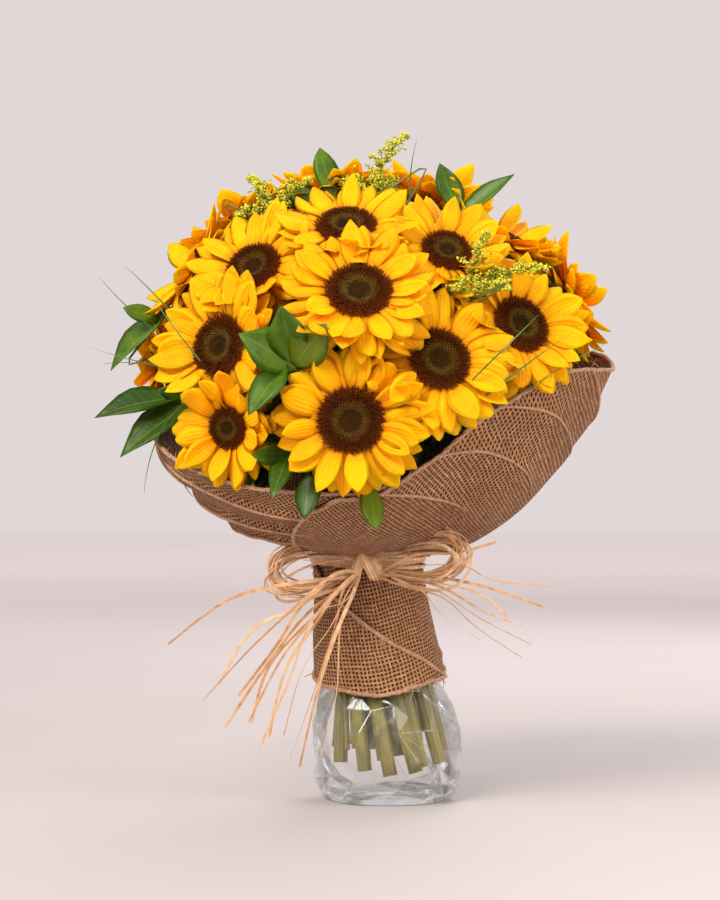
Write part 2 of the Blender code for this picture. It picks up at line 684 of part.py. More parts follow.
# Each bundle of tails leaves the knot and ends in the air: its points, by hand, from the knot.
TAILS = {
    "raffia_tails_left": [(-0.0059, -0.0012, -0.0098), (-0.030, -0.014, -0.026), (-0.058, -0.018, -0.052),
                          (-0.078, -0.020, -0.086), (-0.090, -0.020, -0.122)],
    "raffia_tails_low": [(-0.0008, -0.0012, -0.0113), (-0.020, -0.016, -0.036), (-0.046, -0.022, -0.072),
                         (-0.058, -0.024, -0.112), (-0.060, -0.022, -0.150)],
    "raffia_tails_right": [(0.0064, -0.0012, -0.0096), (0.036, -0.013, -0.015), (0.068, -0.014, -0.028),
                           (0.100, -0.012, -0.040), (0.128, -0.010, -0.050)],
}


def spline_points(points, per_span):
    """A smooth line through the points, with a few more between each two."""
    p = [Vector(q) for q in points]
    p = [p[0] * 2 - p[1], *p, p[-1] * 2 - p[-2]]
    made = []
    for a, b, c, d in zip(p, p[1:], p[2:], p[3:]):
        for i in range(per_span):
            t = i / per_span
            made.append(0.5 * (2 * b + (c - a) * t + (2 * a - 5 * b + 4 * c - d) * t * t
                               + (3 * b - a - 3 * c + d) * t**3))
    return made + [p[-2]]


def build_tail(name, points, group, finish):
    path = [KNOT + p for p in spline_points(points, 3)]
    radii = [mix(0.0022, 0.0012, i / (len(path) - 1)) for i in range(len(path))]
    return tube(name, path, radii, group, finish, resolution=1)


# --- The whole bunch ----------------------------------------------------------------------------
def main():
    clear_scene()
    bunch = collection("sunflower_bunch")
    helpers = collection("helpers", helper=True)
    green = material("stem_green", (0.16, 0.22, 0.05), 0.6)
    yellow = material("petal_yellow", (0.95, 0.52, 0.01), 0.55)
    leaf_green = material("leaf_green", (0.05, 0.16, 0.03), 0.35)
    rod_yellow = material("goldenrod_yellow", (0.70, 0.62, 0.03), 0.7)
    grass_green = material("grass_green", (0.12, 0.18, 0.04), 0.5)
    jute = material("burlap", (0.42, 0.24, 0.12), 0.9)
    straw = material("raffia", (0.72, 0.47, 0.26), 0.6)
    film = material("cellophane", (0.95, 0.95, 0.97), 0.08, alpha=0.25)
    water = material("water", (0.85, 0.92, 0.92), 0.02, alpha=0.3)

    places = [bloom_place(b) for b in BLOOMS]
    faces = [bloom_face(b) for b in BLOOMS]
    ends = [p + f * head_profile(b)[0][0] for p, f, b in zip(places, faces, BLOOMS)]
    ways = list(faces)
    radii = [STEM_RADIUS] * len(BLOOMS)
    for sprig in SPRIGS.values():
        way = heading(sprig.bearing, sprig.climb)
        ends.append(DOME + way * sprig.reach)
        ways.append(way)
        radii.append(SPRIG_RADIUS)
    for rod in RODS.values():
        way = heading(rod.bearing, rod.climb)
        ends.append(DOME + way * rod.reach)
        ways.append(way)
        radii.append(ROD_RADIUS)
    for blades in GRASS.values():
        way = heading(-158, 4)
        ends.append(DOME + way * 0.130)
        ways.append(way)
        radii.append(GRASS_RADIUS)

    # A stem's slot lies towards its own head, and further out the lower that head is.
    wanted = []
    for end in ends:
        flat = Vector((end.x - TIE.x, end.y - TIE.y))
        steep = math.atan2(end.z - TIE.z, flat.length) / (math.pi / 2)
        wanted.append(flat.normalized() * 0.034 * (1.15 - steep) / 0.8)
    slots = tie_slots(wanted, radii)
    lines = np.array([stem_line(s, e, w) for s, e, w in zip(slots, ends, ways)], float)
    knobs = [(p - f * 0.006, b.disc * 0.9, i) for i, (p, f, b) in enumerate(zip(places, faces, BLOOMS))]
    lines = settle(lines, radii, knobs)
    print("bundle radius in the tie:", round(float(np.linalg.norm(slots, axis=1).max() + STEM_RADIUS), 4))

    at = len(BLOOMS)
    sprig_lines = dict(zip(SPRIGS, lines[at:at + len(SPRIGS)]))
    at += len(SPRIGS)
    rod_lines = dict(zip(RODS, lines[at:at + len(RODS)]))
    at += len(RODS)
    grass_lines = dict(zip(GRASS, lines[at:at + len(GRASS)]))
    slot_of = dict(zip([*range(len(BLOOMS)), *SPRIGS, *RODS, *GRASS], slots))

    # Everything that a whorl of petals has to keep clear of, apart from its own stem.
    shared = []
    for name, sprig in SPRIGS.items():
        shared += leaf_balls(sprig, sprig_lines[name])
    for name, rod in RODS.items():
        shared += dense(*plume_points(rod, rod_lines[name]), 4)
    for name, blades in GRASS.items():
        for blade in blades:
            shared += dense(blade_path(blade, grass_lines[name][-1]), [GRASS_RADIUS] * 5, 8)
    stem_balls = [dense(line, [r] * len(line), 6) for line, r in zip(lines, radii)]

    for i, bloom in enumerate(BLOOMS):
        planes, near = [], list(shared)
        for j, other in enumerate(BLOOMS):
            if j == i:
                continue
            way = (places[j] - places[i]).normalized()
            planes.append((*way, way.dot(mix(places[i], places[j], 0.5))))
            near += stem_balls[j]
            near += [(places[j] + faces[j] * along, other.disc * share)
                     for along, share in ((-0.016, 0.55), (-0.007, 0.9), (0.002, 0.95))]
        balls = np.array([(*place, radius) for place, radius in near])
        build_stem(i + 1, bloom, lines[i], slots[i], bunch, green)
        build_petals(i + 1, bloom, np.array(planes), balls, bunch, yellow)
    for name, sprig in SPRIGS.items():
        build_sprig(name, sprig, sprig_lines[name], slot_of[name], bunch, helpers, leaf_green)
    for name, rod in RODS.items():
        build_rod(name, rod, rod_lines[name], slot_of[name], bunch, rod_yellow)
    for name, blades in GRASS.items():
        build_grass(name, blades, grass_lines[name], slot_of[name], bunch, helpers, grass_green)

    build_collar(bunch, jute)
    turned_shell("burlap_skirt", SKIRT_OUTSIDE, BURLAP, 30, bunch, jute, lean=SKIRT_LEAN)
    turned_shell("cellophane_bag", BAG_OUTSIDE, BAG_WALL, 24, bunch, film, floor=BAG_WALL)
    wet = [(slot_of[i], b.foot, STEM_RADIUS) for i, b in enumerate(BLOOMS)]
    wet += [(slot_of[n], s.foot, SPRIG_RADIUS) for n, s in SPRIGS.items()]
    wet += [(slot_of[n], r.foot, ROD_RADIUS) for n, r in RODS.items()]
    wet += [(slot_of[n], 0.062, GRASS_RADIUS) for n in GRASS]
    build_water(wet, bunch, helpers, water)

    build_band(bunch, straw)
    build_bow(bunch, helpers, straw)
    for name, points in TAILS.items():
        build_tail(name, points, bunch, straw)
    bpy.context.view_layer.update()


main()
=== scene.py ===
# %% [markdown]
# # A hand-tied bunch of sunflowers
# The bunch is already solid: stems, seed heads, whorls, wraps and the bag of water all have their
# places and sizes. This lesson gives each of them its looks, piece by piece, in the same places.
# We start with the solids, because every petal, thread and strand below is set out from them.

# %% Load the solids
import json
import math

import bmesh
import bpy
import numpy as np
from mathutils import Matrix, Vector, noise
from mathutils.bvhtree import BVHTree

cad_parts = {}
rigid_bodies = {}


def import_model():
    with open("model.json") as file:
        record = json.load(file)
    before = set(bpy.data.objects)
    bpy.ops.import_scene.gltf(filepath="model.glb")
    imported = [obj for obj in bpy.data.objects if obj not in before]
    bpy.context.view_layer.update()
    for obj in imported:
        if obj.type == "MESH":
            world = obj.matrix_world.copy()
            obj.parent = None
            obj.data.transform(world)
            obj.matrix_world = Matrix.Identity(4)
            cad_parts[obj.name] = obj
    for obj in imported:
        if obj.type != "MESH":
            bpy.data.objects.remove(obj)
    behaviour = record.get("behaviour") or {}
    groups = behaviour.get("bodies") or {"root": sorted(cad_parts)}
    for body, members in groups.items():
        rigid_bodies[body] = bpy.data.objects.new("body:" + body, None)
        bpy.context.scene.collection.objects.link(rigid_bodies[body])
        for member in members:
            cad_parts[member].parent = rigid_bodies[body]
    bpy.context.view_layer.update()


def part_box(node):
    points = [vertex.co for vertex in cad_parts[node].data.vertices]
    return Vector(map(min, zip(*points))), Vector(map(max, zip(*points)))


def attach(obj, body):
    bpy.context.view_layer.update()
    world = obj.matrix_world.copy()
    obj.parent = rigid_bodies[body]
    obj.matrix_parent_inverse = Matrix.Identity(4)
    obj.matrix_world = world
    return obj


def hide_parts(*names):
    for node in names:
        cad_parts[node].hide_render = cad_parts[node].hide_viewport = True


for leftover in list(bpy.data.objects):
    bpy.data.objects.remove(leftover)
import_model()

# %% [markdown]
# ## The places that everything is set out from
# The tie is where all stems cross. Its height is read from the raffia band, so that it stays true if
# the band is moved. The blooms are counted from the dome, a point in their midst: each has a bearing
# round it, a climb above the horizon and a distance, like stars on a globe.

# %% Tie, dome and knot
band_low, band_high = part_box("raffia_band")
TIE = (band_low + band_high) / 2
DOME = Vector((-0.018, 0.0, 0.335))
KNOT = Vector((-0.0165, -0.0509, 0.1900))
UP = Vector((0, 0, 1))
print("tie:", [round(x, 4) for x in TIE])


def heading(bearing, climb):
    """The unit vector that points at a bearing and a climb, in degrees."""
    b, c = math.radians(bearing), math.radians(climb)
    return Vector((math.cos(b) * math.cos(c), math.sin(b) * math.cos(c), math.sin(c)))


def ring_spot(radius, angle, height):
    """A point on a level circle round the upright axis. The angle is in radians."""
    return Vector((radius * math.cos(angle), radius * math.sin(angle), height))


def mix(a, b, t):
    return a + (b - a) * t


def smooth(low, high, x):
    """0 below low, 1 above high and an even S between them."""
    t = min(max((x - low) / (high - low), 0.0), 1.0)
    return t * t * (3 - 2 * t)

# %% [markdown]
# ## Camera
# A bunch is looked at from about the height of its blooms. A long lens from two metres away keeps its
# proportions; a short one close by would make the nearest bloom too large.

# %% Camera
EYE = (-0.0224, -2.2, 0.279)
LENS, FILM = 110, 36


def in_scene(name, data):
    """A new object for some data, linked into the scene."""
    made = bpy.data.objects.new(name, data)
    bpy.context.scene.collection.objects.link(made)
    return made


camera = in_scene("camera", bpy.data.cameras.new("camera"))
camera.location = EYE
camera.rotation_euler = (math.radians(90), 0, 0)
camera.data.lens = LENS
camera.data.sensor_width = FILM
bpy.context.scene.camera = camera
bpy.context.scene.view_settings.view_transform = "Standard"
print("camera:", LENS, "mm lens,", -EYE[1], "m away")

# %% [markdown]
# ## Writing nodes like sentences
# Every finish and every Geometry Nodes tree below is a web of small nodes. Adding each by hand takes
# three lines, so one helper does it: it makes a node, fills its sockets with numbers or with other
# nodes' results, and hands back its output. A recipe then reads from left to right.

# %% Node helper
class Wires:
    """Adds nodes to a tree and joins them up."""

    def __init__(self, tree):
        self.tree = tree

    def put(self, socket, value):
        if isinstance(value, bpy.types.Node):
            value = value.outputs[0]
        if isinstance(value, bpy.types.NodeSocket):
            self.tree.links.new(value, socket)
        else:
            socket.default_value = value

    def node(self, kind, inputs=None, **settings):
        made = self.tree.nodes.new(kind)
        for name, value in settings.items():
            setattr(made, name, value)
        for name, value in (inputs or {}).items():
            self.put(made.inputs[name], value)
        return made

    def maths(self, operation, *values):
        return self.node("ShaderNodeMath", dict(enumerate(values)), operation=operation).outputs[0]

    def plus(self, a, b):
        return self.maths("ADD", a, b)

    def minus(self, a, b):
        return self.maths("SUBTRACT", a, b)

    def times(self, a, b):
        return self.maths("MULTIPLY", a, b)

    def vector(self, operation, *values):
        made = self.node("ShaderNodeVectorMath", operation=operation)
        for socket, value in zip(made.inputs, values):
            self.put(socket, value)
        return made.outputs["Value" if operation == "LENGTH" else "Vector"]

    def scaled(self, arrow, amount):
        return self.node("ShaderNodeVectorMath", {0: arrow, "Scale": amount}, operation="SCALE").outputs[0]

    def xyz(self, x=0.0, y=0.0, z=0.0):
        return self.node("ShaderNodeCombineXYZ", {0: x, 1: y, 2: z}).outputs[0]

    def spread(self, value, low, high, to_low=0.0, to_high=1.0):
        return self.node("ShaderNodeMapRange", {0: value, 1: low, 2: high, 3: to_low, 4: to_high},
                         interpolation_type="SMOOTHSTEP").outputs[0]

    def blend(self, share, first, second):
        # the Mix node has a set of sockets for each kind of value: 6 and 7 are its two colours
        return self.node("ShaderNodeMix", {0: share, 6: first, 7: second}, data_type="RGBA").outputs[2]

    def ramp(self, value, *stops):
        made = self.node("ShaderNodeValToRGB", {0: value})
        line = made.color_ramp.elements
        while len(line) < len(stops):
            line.new(0.5)
        for stop, (place, colour) in zip(line, stops):
            stop.position = place
            stop.color = (*colour, 1.0)
        return made.outputs[0]

    def noise(self, where, scale, detail=3.0, rough=0.5):
        inputs = {"Vector": where, "Scale": scale, "Detail": detail, "Roughness": rough}
        return self.node("ShaderNodeTexNoise", inputs).outputs[0]

    def place(self):
        """The point's place on the object, in metres."""
        return self.node("ShaderNodeTexCoord").outputs["Object"]

    def carried(self, name):
        """A number that the piece's own mesh carries."""
        return self.node("ShaderNodeAttribute", attribute_name=name).outputs["Fac"]

    def colour(self, shader, value):
        self.put(shader.inputs["Base Color"], value)

    def bump(self, shader, height, strength, distance):
        made = self.node("ShaderNodeBump", {"Height": height, "Strength": strength, "Distance": distance})
        self.put(shader.inputs["Normal"], made)


def finish_called(name, **values):
    """A new material with its Principled shader's plain values set. Returns material, wires, shader."""
    made = bpy.data.materials.new(name)
    made.use_nodes = True
    shader = made.node_tree.nodes["Principled BSDF"]
    for socket, value in values.items():
        shader.inputs[socket.replace("_", " ")].default_value = value
    return made, Wires(made.node_tree), shader


print("node helper:", len([name for name in vars(Wires) if name[0] != "_"]), "short words")

# %% [markdown]
# ## Floor
# The floor is one large pale plane. Its colour is painted a little darker under the bunch than far
# away, a painted shade, and that hides the line where it meets the wall.

# %% Floor
FLOOR_SIZE = 14
FLOOR_NEAR_PAINTED_SHADE, FLOOR_FAR = (0.44, 0.40, 0.39, 1), (0.98, 0.93, 0.925, 1)


def lay_floor():
    bpy.ops.mesh.primitive_plane_add(size=FLOOR_SIZE, location=(0, 0, 0))
    floor = bpy.context.object
    floor.name = "floor"
    made, w, shader = finish_called("studio_floor", Roughness=0.75)
    where = w.place()
    cloud = w.times(w.noise(where, 1.3), 0.15)
    # painted shade: the floor is darker near the bunch and paler far from it
    away = w.spread(w.vector("LENGTH", where), 0.5, 4.8, 0.0, 0.88)
    w.colour(shader, w.blend(w.plus(cloud, away), FLOOR_NEAR_PAINTED_SHADE, FLOOR_FAR))
    floor.data.materials.append(made)


lay_floor()
print("floor:", FLOOR_SIZE, "m wide")

# %% [markdown]
# ## Light
# A small studio has a big soft window of light at the upper left, a weaker one at the right, and one
# behind that gives the petals and the clear film a bright edge. Wide squares give soft shadows, and all
# look at the middle of the bunch. The pale world fills the rest.

# %% Light
# place, size in metres, watts and colour of each light
LIGHTS = {"key": ((-1.0, -1.7, 1.9), 1.2, 66, (1.0, 0.97, 0.93)),
          "fill": ((1.9, -1.2, 0.9), 1.5, 24, (1.0, 0.98, 0.96)),
          "rim": ((0.6, 1.6, 1.5), 1.2, 20, (1.0, 1.0, 1.0))}
LIT_POINT = Vector((0, 0, 0.28))
WORLD_COLOUR, WORLD_STRENGTH = (0.92, 0.83, 0.83, 1), 0.82

for name, (spot, size, watts, colour) in LIGHTS.items():
    light = bpy.data.lights.new(name, "AREA")
    light.size = size
    light.energy = watts
    light.color = colour
    lamp = in_scene(name, light)
    lamp.location = spot
    lamp.rotation_euler = (LIT_POINT - Vector(spot)).to_track_quat("-Z", "Y").to_euler()
world = bpy.data.worlds.new("studio")
bpy.context.scene.world = world
world.use_nodes = True
world.node_tree.nodes["Background"].inputs["Color"].default_value = WORLD_COLOUR
world.node_tree.nodes["Background"].inputs["Strength"].default_value = WORLD_STRENGTH
print("lights:", ", ".join(LIGHTS))

# %% [markdown]
# ## Living tone
# A plant is never one colour. Every plant finish needs the same unevenness: broad clouds, fine flecks,
# and the tone that each petal or leaf was given when it was placed. So it is a node group, built once,
# which each finish uses with its own two colours.

# %% Group: living tone
def group_called(name, kind, inputs, outputs):
    """A node group with named sockets. Returns it, its wires, what it is given and what it puts out."""
    made = bpy.data.node_groups.new(name, kind)
    for label, sort, value in inputs:
        socket = made.interface.new_socket(label, in_out="INPUT", socket_type="NodeSocket" + sort)
        if value is not None:
            socket.default_value = value
    for label, sort in outputs:
        made.interface.new_socket(label, in_out="OUTPUT", socket_type="NodeSocket" + sort)
    wires = Wires(made)
    return made, wires, wires.node("NodeGroupInput").outputs, wires.node("NodeGroupOutput").inputs


def build_living_tone():
    made, w, given, out = group_called("living_tone", "ShaderNodeTree", [
        ("Base", "Color", (0.5, 0.5, 0.5, 1)), ("Dark", "Color", (0.2, 0.2, 0.2, 1)),
        ("Fleck Size", "Float", 300.0), ("Cloud Size", "Float", 40.0), ("Tone", "Float", 0.5)],
        [("Color", "Color"), ("Height", "Float")])
    where = w.place()
    cloud = w.noise(where, given["Cloud Size"], 2.0)
    fleck = w.noise(where, given["Fleck Size"], 4.0, 0.65)
    uneven = w.plus(w.times(cloud, 0.7), w.times(fleck, 0.3))
    share = w.spread(w.plus(uneven, w.times(given["Tone"], 0.35)), 0.35, 0.95)
    w.put(out["Color"], w.blend(share, given["Dark"], given["Base"]))
    w.put(out["Height"], fleck)
    return made


living_tone = build_living_tone()
print("effect:", living_tone.name)

# %% [markdown]
# ## Open weave
# Burlap could be made of real threads, but a collar has tens of thousands of crossings. So the threads
# are drawn by a node group: it rounds each thread, makes it pass over and under the others, lets it
# wander and gives each its own thickness. Between the threads it leaves holes, which the burlap finish
# paints dark as painted shade of the space behind the cloth.

# %% Group: open weave
def build_open_weave():
    made, w, given, out = group_called("open_weave", "ShaderNodeTree", [
        ("Threads", "Vector", None), ("Thread Width", "Float", 0.50)],
        [("Thread", "Float"), ("Height", "Float"), ("Tone", "Float")])
    wavy = w.node("ShaderNodeTexNoise", {"Vector": given["Threads"], "Scale": 0.16, "Detail": 3.0})
    sway = w.vector("SUBTRACT", wavy.outputs["Color"], (0.5, 0.5, 0.5))
    sway = w.vector("MULTIPLY", sway, (1.3, 1.3, 0.0))
    split = w.node("ShaderNodeSeparateXYZ", {0: w.vector("ADD", given["Threads"], sway)}).outputs
    heights, tones = [], []
    for own, other, shift in ((0, 1, 0.0), (1, 0, 1.0)):
        number = w.maths("FLOOR", split[own])
        slub = w.noise(w.xyz(number, w.times(split[other], 0.22)), 1.7, 2.0)
        width = w.times(given["Thread Width"], w.plus(0.72, w.times(slub, 0.56)))
        off = w.maths("ABSOLUTE", w.minus(w.maths("FRACT", split[own]), 0.5))
        share = w.maths("DIVIDE", w.times(off, 2.0), width)
        round_top = w.maths("SQRT", w.maths("MAXIMUM", w.minus(1.0, w.times(share, share)), 0.0))
        over_under = w.plus(split[other], w.plus(number, shift))
        wave = w.maths("SINE", w.times(math.pi, over_under))
        heights.append(w.times(round_top, w.plus(0.68, w.times(wave, 0.32))))
        # painted shade: each thread's tone is lighter on its crest and darker at its sides, times its own
        # slub
        tones.append(w.times(slub, round_top))
    height = w.maths("MAXIMUM", *heights)
    w.put(out["Height"], height)
    w.put(out["Thread"], w.spread(height, 0.10, 0.38))
    w.put(out["Tone"], w.maths("MAXIMUM", *tones))
    return made


open_weave = build_open_weave()
print("effect:", open_weave.name)

# %% [markdown]
# ## A petal's finish
# A petal is painted orange at its root, partly its own colour and partly painted shade near the seed
# head, and clear yellow further out, with fine veins that run its whole length.
# The veins follow the petal because they read the place *across* it that its mesh carries. Light goes
# through so thin a blade, which the subsurface value gives.

# %% Petal finish
PETAL_YELLOW, PETAL_ORANGE = (1.0, 0.46, 0.0, 1), (1.0, 0.335, 0.0, 1)
PETAL_ROOT_AND_SHADE, PETAL_VEIN, PETAL_EDGE = (0.90, 0.25, 0.0, 1), (0.96, 0.29, 0.0, 1), (1.0, 0.51, 0.0, 1)


def toned(w, base, dark, tone=0.5, fleck=300.0, cloud=40.0):
    """The living tone of two colours. fleck and cloud are counts to the metre."""
    return w.node("ShaderNodeGroup", {"Base": base, "Dark": dark, "Tone": tone, "Fleck Size": fleck,
                                      "Cloud Size": cloud}, node_tree=living_tone)


def petal_finish():
    made, w, shader = finish_called("petal", Roughness=0.68, Subsurface_Weight=0.40,
                                    Subsurface_Scale=0.005, Specular_IOR_Level=0.10,
                                    Subsurface_Radius=(1.0, 0.42, 0.02))
    along, across = w.carried("along"), w.carried("across")
    yellow = toned(w, PETAL_YELLOW, PETAL_ORANGE, w.carried("tone"), 260.0, 55.0)
    # painted shade: the root is a deeper orange, partly the petal's own colour
    rooted_and_shaded = w.blend(w.spread(along, 0.02, 0.42), PETAL_ROOT_AND_SHADE, yellow)
    vein = w.maths("SINE", w.times(across, 21.0))
    veined = w.blend(w.times(w.spread(vein, 0.25, 1.0), 0.16), rooted_and_shaded, PETAL_VEIN)
    edge = w.times(w.spread(w.maths("ABSOLUTE", across), 0.72, 1.0), 0.35)
    w.colour(shader, w.blend(edge, veined, PETAL_EDGE))
    w.bump(shader, w.plus(w.times(vein, 0.6), yellow.outputs["Height"]), 0.35, 0.0008)
    return made


PETAL = petal_finish()
print("finish:", PETAL.name)

# %% [markdown]
# ## Green blades
# Leaves and sepals share one recipe: two greens, a paler midrib, faint side veins that slant away from
# it, and a few blades that have turned olive. Only the colours and the gloss differ.

# %% Leaf finish
def leaf_finish(name, base, dark, rib, roughness):
    made, w, shader = finish_called(name, Roughness=roughness, Specular_IOR_Level=0.25)
    across, tone = w.carried("across"), w.carried("tone")
    green = toned(w, base, dark, tone, 220.0, 45.0)
    turned = (base[0] * 1.5, base[1] * 0.72, base[2], 1)
    olive = w.blend(w.spread(tone, 0.55, 1.0, 0.0, 0.55), green, turned)
    side = w.maths("ABSOLUTE", across)
    ribbed = w.blend(w.spread(side, 0.01, 0.07, 0.42, 0.0), olive, rib)
    slant = w.plus(w.times(w.carried("along"), 62.0), w.times(side, -9.0))
    fine = w.times(w.spread(w.maths("SINE", slant), 0.80, 1.0), 0.10)
    w.colour(shader, w.blend(fine, ribbed, rib))
    w.bump(shader, w.minus(green.outputs["Height"], w.times(fine, 2.0)), 0.25, 0.0006)
    return made


LEAF = leaf_finish("leaf", (0.090, 0.180, 0.004, 1), (0.020, 0.058, 0.002, 1), (0.18, 0.29, 0.028, 1), 0.36)
SEPAL = leaf_finish("sepal", (0.15, 0.24, 0.04, 1), (0.05, 0.11, 0.015, 1), (0.22, 0.32, 0.09, 1), 0.55)
GRASS = leaf_finish("grass", (0.10, 0.20, 0.04, 1), (0.03, 0.08, 0.012, 1), (0.10, 0.20, 0.04, 1), 0.40)
print("finishes:", LEAF.name, SEPAL.name, GRASS.name)

# %% [markdown]
# ## Stems
# A stem is olive, and paler and yellower where it has stood in water. The change is set by the height,
# so that it comes at the same place on every stem. The ribs are lighter than the grooves.

# %% Stem finish
STEM_GREEN, STEM_DARK = (0.20, 0.25, 0.045, 1), (0.060, 0.095, 0.012, 1)
STEM_WET, STEM_RIB = (0.35, 0.26, 0.028, 1), (0.40, 0.38, 0.10, 1)


def stem_finish():
    made, w, shader = finish_called("stem", Roughness=0.42)
    height = w.node("ShaderNodeSeparateXYZ", {0: w.place()}).outputs["Z"]
    green = toned(w, STEM_GREEN, STEM_DARK, 0.3, 420.0, 50.0)
    wet = w.blend(w.spread(height, 0.20, 0.03, 0.0, 0.74), green, STEM_WET)
    rib = w.carried("rib")
    w.colour(shader, w.blend(w.times(w.spread(rib, -0.2, 1.0), 0.22), wet, STEM_RIB))
    w.bump(shader, w.plus(w.times(rib, 0.5), green.outputs["Height"]), 0.5, 0.0008)
    return made


STEM = stem_finish()
print("finish:", STEM.name)

# %% [markdown]
# ## Seed heads and goldenrod
# From the middle outwards a seed head is near black, then a ring of olive gold where the florets are
# about to open, and then dark red brown. So its colour is a ramp over the *ring* that each floret is
# in. Goldenrod only runs from green to yellow, at random, floret by floret.

# %% Seed head and goldenrod finishes
SEED_HEAD_COLOURS = ((0.0, (0.013, 0.014, 0.006)), (0.32, (0.021, 0.021, 0.005)),
                     (0.46, (0.17, 0.115, 0.019)), (0.57, (0.120, 0.056, 0.008)),
                     (0.66, (0.060, 0.013, 0.002)), (1.0, (0.190, 0.043, 0.005)))
FLORET_TIP, FLORET_SHADE = (0.26, 0.09, 0.016, 1), (0.02, 0.008, 0.003, 1)
GOLDENROD_COLOURS = ((0.0, (0.28, 0.34, 0.015)), (0.45, (0.66, 0.62, 0.02)), (1.0, (0.86, 0.80, 0.06)))


def disc_finish():
    made, w, shader = finish_called("seed_head", Roughness=0.75, Specular_IOR_Level=0.05)
    tone = w.carried("tone")
    ring = w.plus(w.carried("ring"), w.times(w.minus(tone, 0.5), 0.10))
    tip = w.times(w.spread(w.carried("along"), 0.55, 1.0), 0.14)
    lit = w.blend(tip, w.ramp(ring, *SEED_HEAD_COLOURS), FLORET_TIP)
    w.colour(shader, w.blend(w.times(tone, 0.30), lit, FLORET_SHADE))
    return made


def goldenrod_finish():
    made, w, shader = finish_called("goldenrod_bloom", Roughness=0.7)
    w.colour(shader, w.ramp(w.carried("tone"), *GOLDENROD_COLOURS))
    return made


DISC = disc_finish()
ROD_BLOOM = goldenrod_finish()
print("finishes:", DISC.name, ROD_BLOOM.name)

# %% [markdown]
# ## How a shape is planted
# Petals, sepals, leaves and tiny florets are all the same job: one small shape, set many times at its
# own place, turn and size. So one Geometry Nodes tree does it. It reads these from the points that it
# is given, picks one of a few shapes, bends it towards its `lift` the further one goes *along* it, and
# ends in real faces with a finish. Python only decides where the points go.

# %% Tree: planted shapes
def tree_called(name, inputs):
    """A Geometry Nodes tree for a modifier, with one geometry in and one out."""
    made, w, given, out = group_called(name, "GeometryNodeTree", [("Geometry", "Geometry", None)] + inputs,
                                       [("Geometry", "Geometry")])
    made.is_modifier = True
    return made, w, given, out


def named(w, name, kind="FLOAT"):
    return w.node("GeometryNodeInputNamedAttribute", {"Name": name}, data_type=kind).outputs[0]


def chance_of(w, seed, low=0.0, high=1.0):
    """A random number for each point, the same ones for the same seed."""
    return w.node("FunctionNodeRandomValue", {2: low, 3: high, "Seed": seed}, data_type="FLOAT").outputs[1]


def finished(w, geometry, given, out):
    """The end of every tree: the finish on real faces."""
    w.put(out[0], w.node("GeometryNodeSetMaterial", {"Geometry": geometry, "Material": given["Finish"]}))


def picked_from(w, shapes):
    return w.node("GeometryNodeCollectionInfo", {
        "Collection": shapes, "Separate Children": True, "Reset Children": True})


def build_planted():
    made, w, given, out = tree_called("planted_shapes", [
        ("Shapes", "Collection", None), ("Twist", "Float", 0.1), ("Seed", "Int", 1),
        ("Finish", "Material", None)])
    planted = w.node("GeometryNodeInstanceOnPoints", {
        "Points": given["Geometry"], "Instance": picked_from(w, given["Shapes"]), "Pick Instance": True,
        "Instance Index": named(w, "pick", "INT"), "Rotation": named(w, "turn", "FLOAT_VECTOR"),
        "Scale": named(w, "size", "FLOAT_VECTOR")})
    roll = w.xyz(0.0, w.times(chance_of(w, given["Seed"], -1.0, 1.0), given["Twist"]))
    rolled = w.node("GeometryNodeRotateInstances", {"Instances": planted, "Rotation": roll})
    real = w.node("GeometryNodeRealizeInstances", {"Geometry": rolled})
    along = named(w, "along")
    amount = w.times(named(w, "lean"), w.times(along, along))
    bent = w.node("GeometryNodeSetPosition", {
        "Geometry": real, "Offset": w.scaled(named(w, "lift", "FLOAT_VECTOR"), amount)})
    finished(w, w.node("GeometryNodeSetShadeSmooth", {"Geometry": bent}), given, out)
    return made


planted_shapes = build_planted()
print("tree:", planted_shapes.name)

# %% [markdown]
# ## From a tree to a plain piece
# A tree works on a *plan*, a mesh of bare points or lines. To keep its result we set its inputs, let
# Blender evaluate the plan, copy what comes out into a plain mesh and throw the plan away. A plain mesh
# needs no modifier any more, so it can be handed on to anyone.

# %% Plans and pieces
def mesh_of(name, points, edges=(), faces=()):
    mesh = bpy.data.meshes.new(name)
    mesh.from_pydata([tuple(point) for point in points], edges, faces)
    return mesh


def note_on(mesh, label, values, kind="FLOAT"):
    """Gives each point of the mesh its own value, which trees and finishes can read by its name."""
    layer = mesh.attributes.new(label, kind, "POINT")
    layer.data.foreach_set("vector" if kind == "FLOAT_VECTOR" else "value", values)


def with_tree(plan, tree, **values):
    """The plan after the tree, with the tree's inputs set, as a plain object at the origin."""
    step = plan.modifiers.new(tree.name, "NODES")
    step.node_group = tree
    sockets = {item.name: item.identifier for item in tree.interface.items_tree
               if item.item_type == "SOCKET" and item.in_out == "INPUT"}
    for name, value in values.items():
        step[sockets[name]] = value
    bpy.context.view_layer.update()
    graph = bpy.context.evaluated_depsgraph_get()
    mesh = bpy.data.meshes.new_from_object(plan.evaluated_get(graph), preserve_all_data_layers=True,
                                           depsgraph=graph)
    name = plan.name.replace("plan_of_", "")
    bpy.data.objects.remove(plan)
    mesh.name = name
    return in_scene(name, mesh)


def belongs(piece, slot, *nodes):
    """The piece rides on the bunch and stands for these solids. slot is not used."""
    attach(piece, "root")
    if nodes:
        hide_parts(*nodes)
    return piece


print("trees and effects so far:", [tree.name for tree in bpy.data.node_groups])

# %% [markdown]
# ## Planting from Python
# Each shape gets a row in a table: where it stands, which way it faces, its size, how far it leans and
# its tone. The rows become the points of a plan. Three directions at right angles make a turn, because
# they are the columns of its matrix, which is easier to think in than three angles.

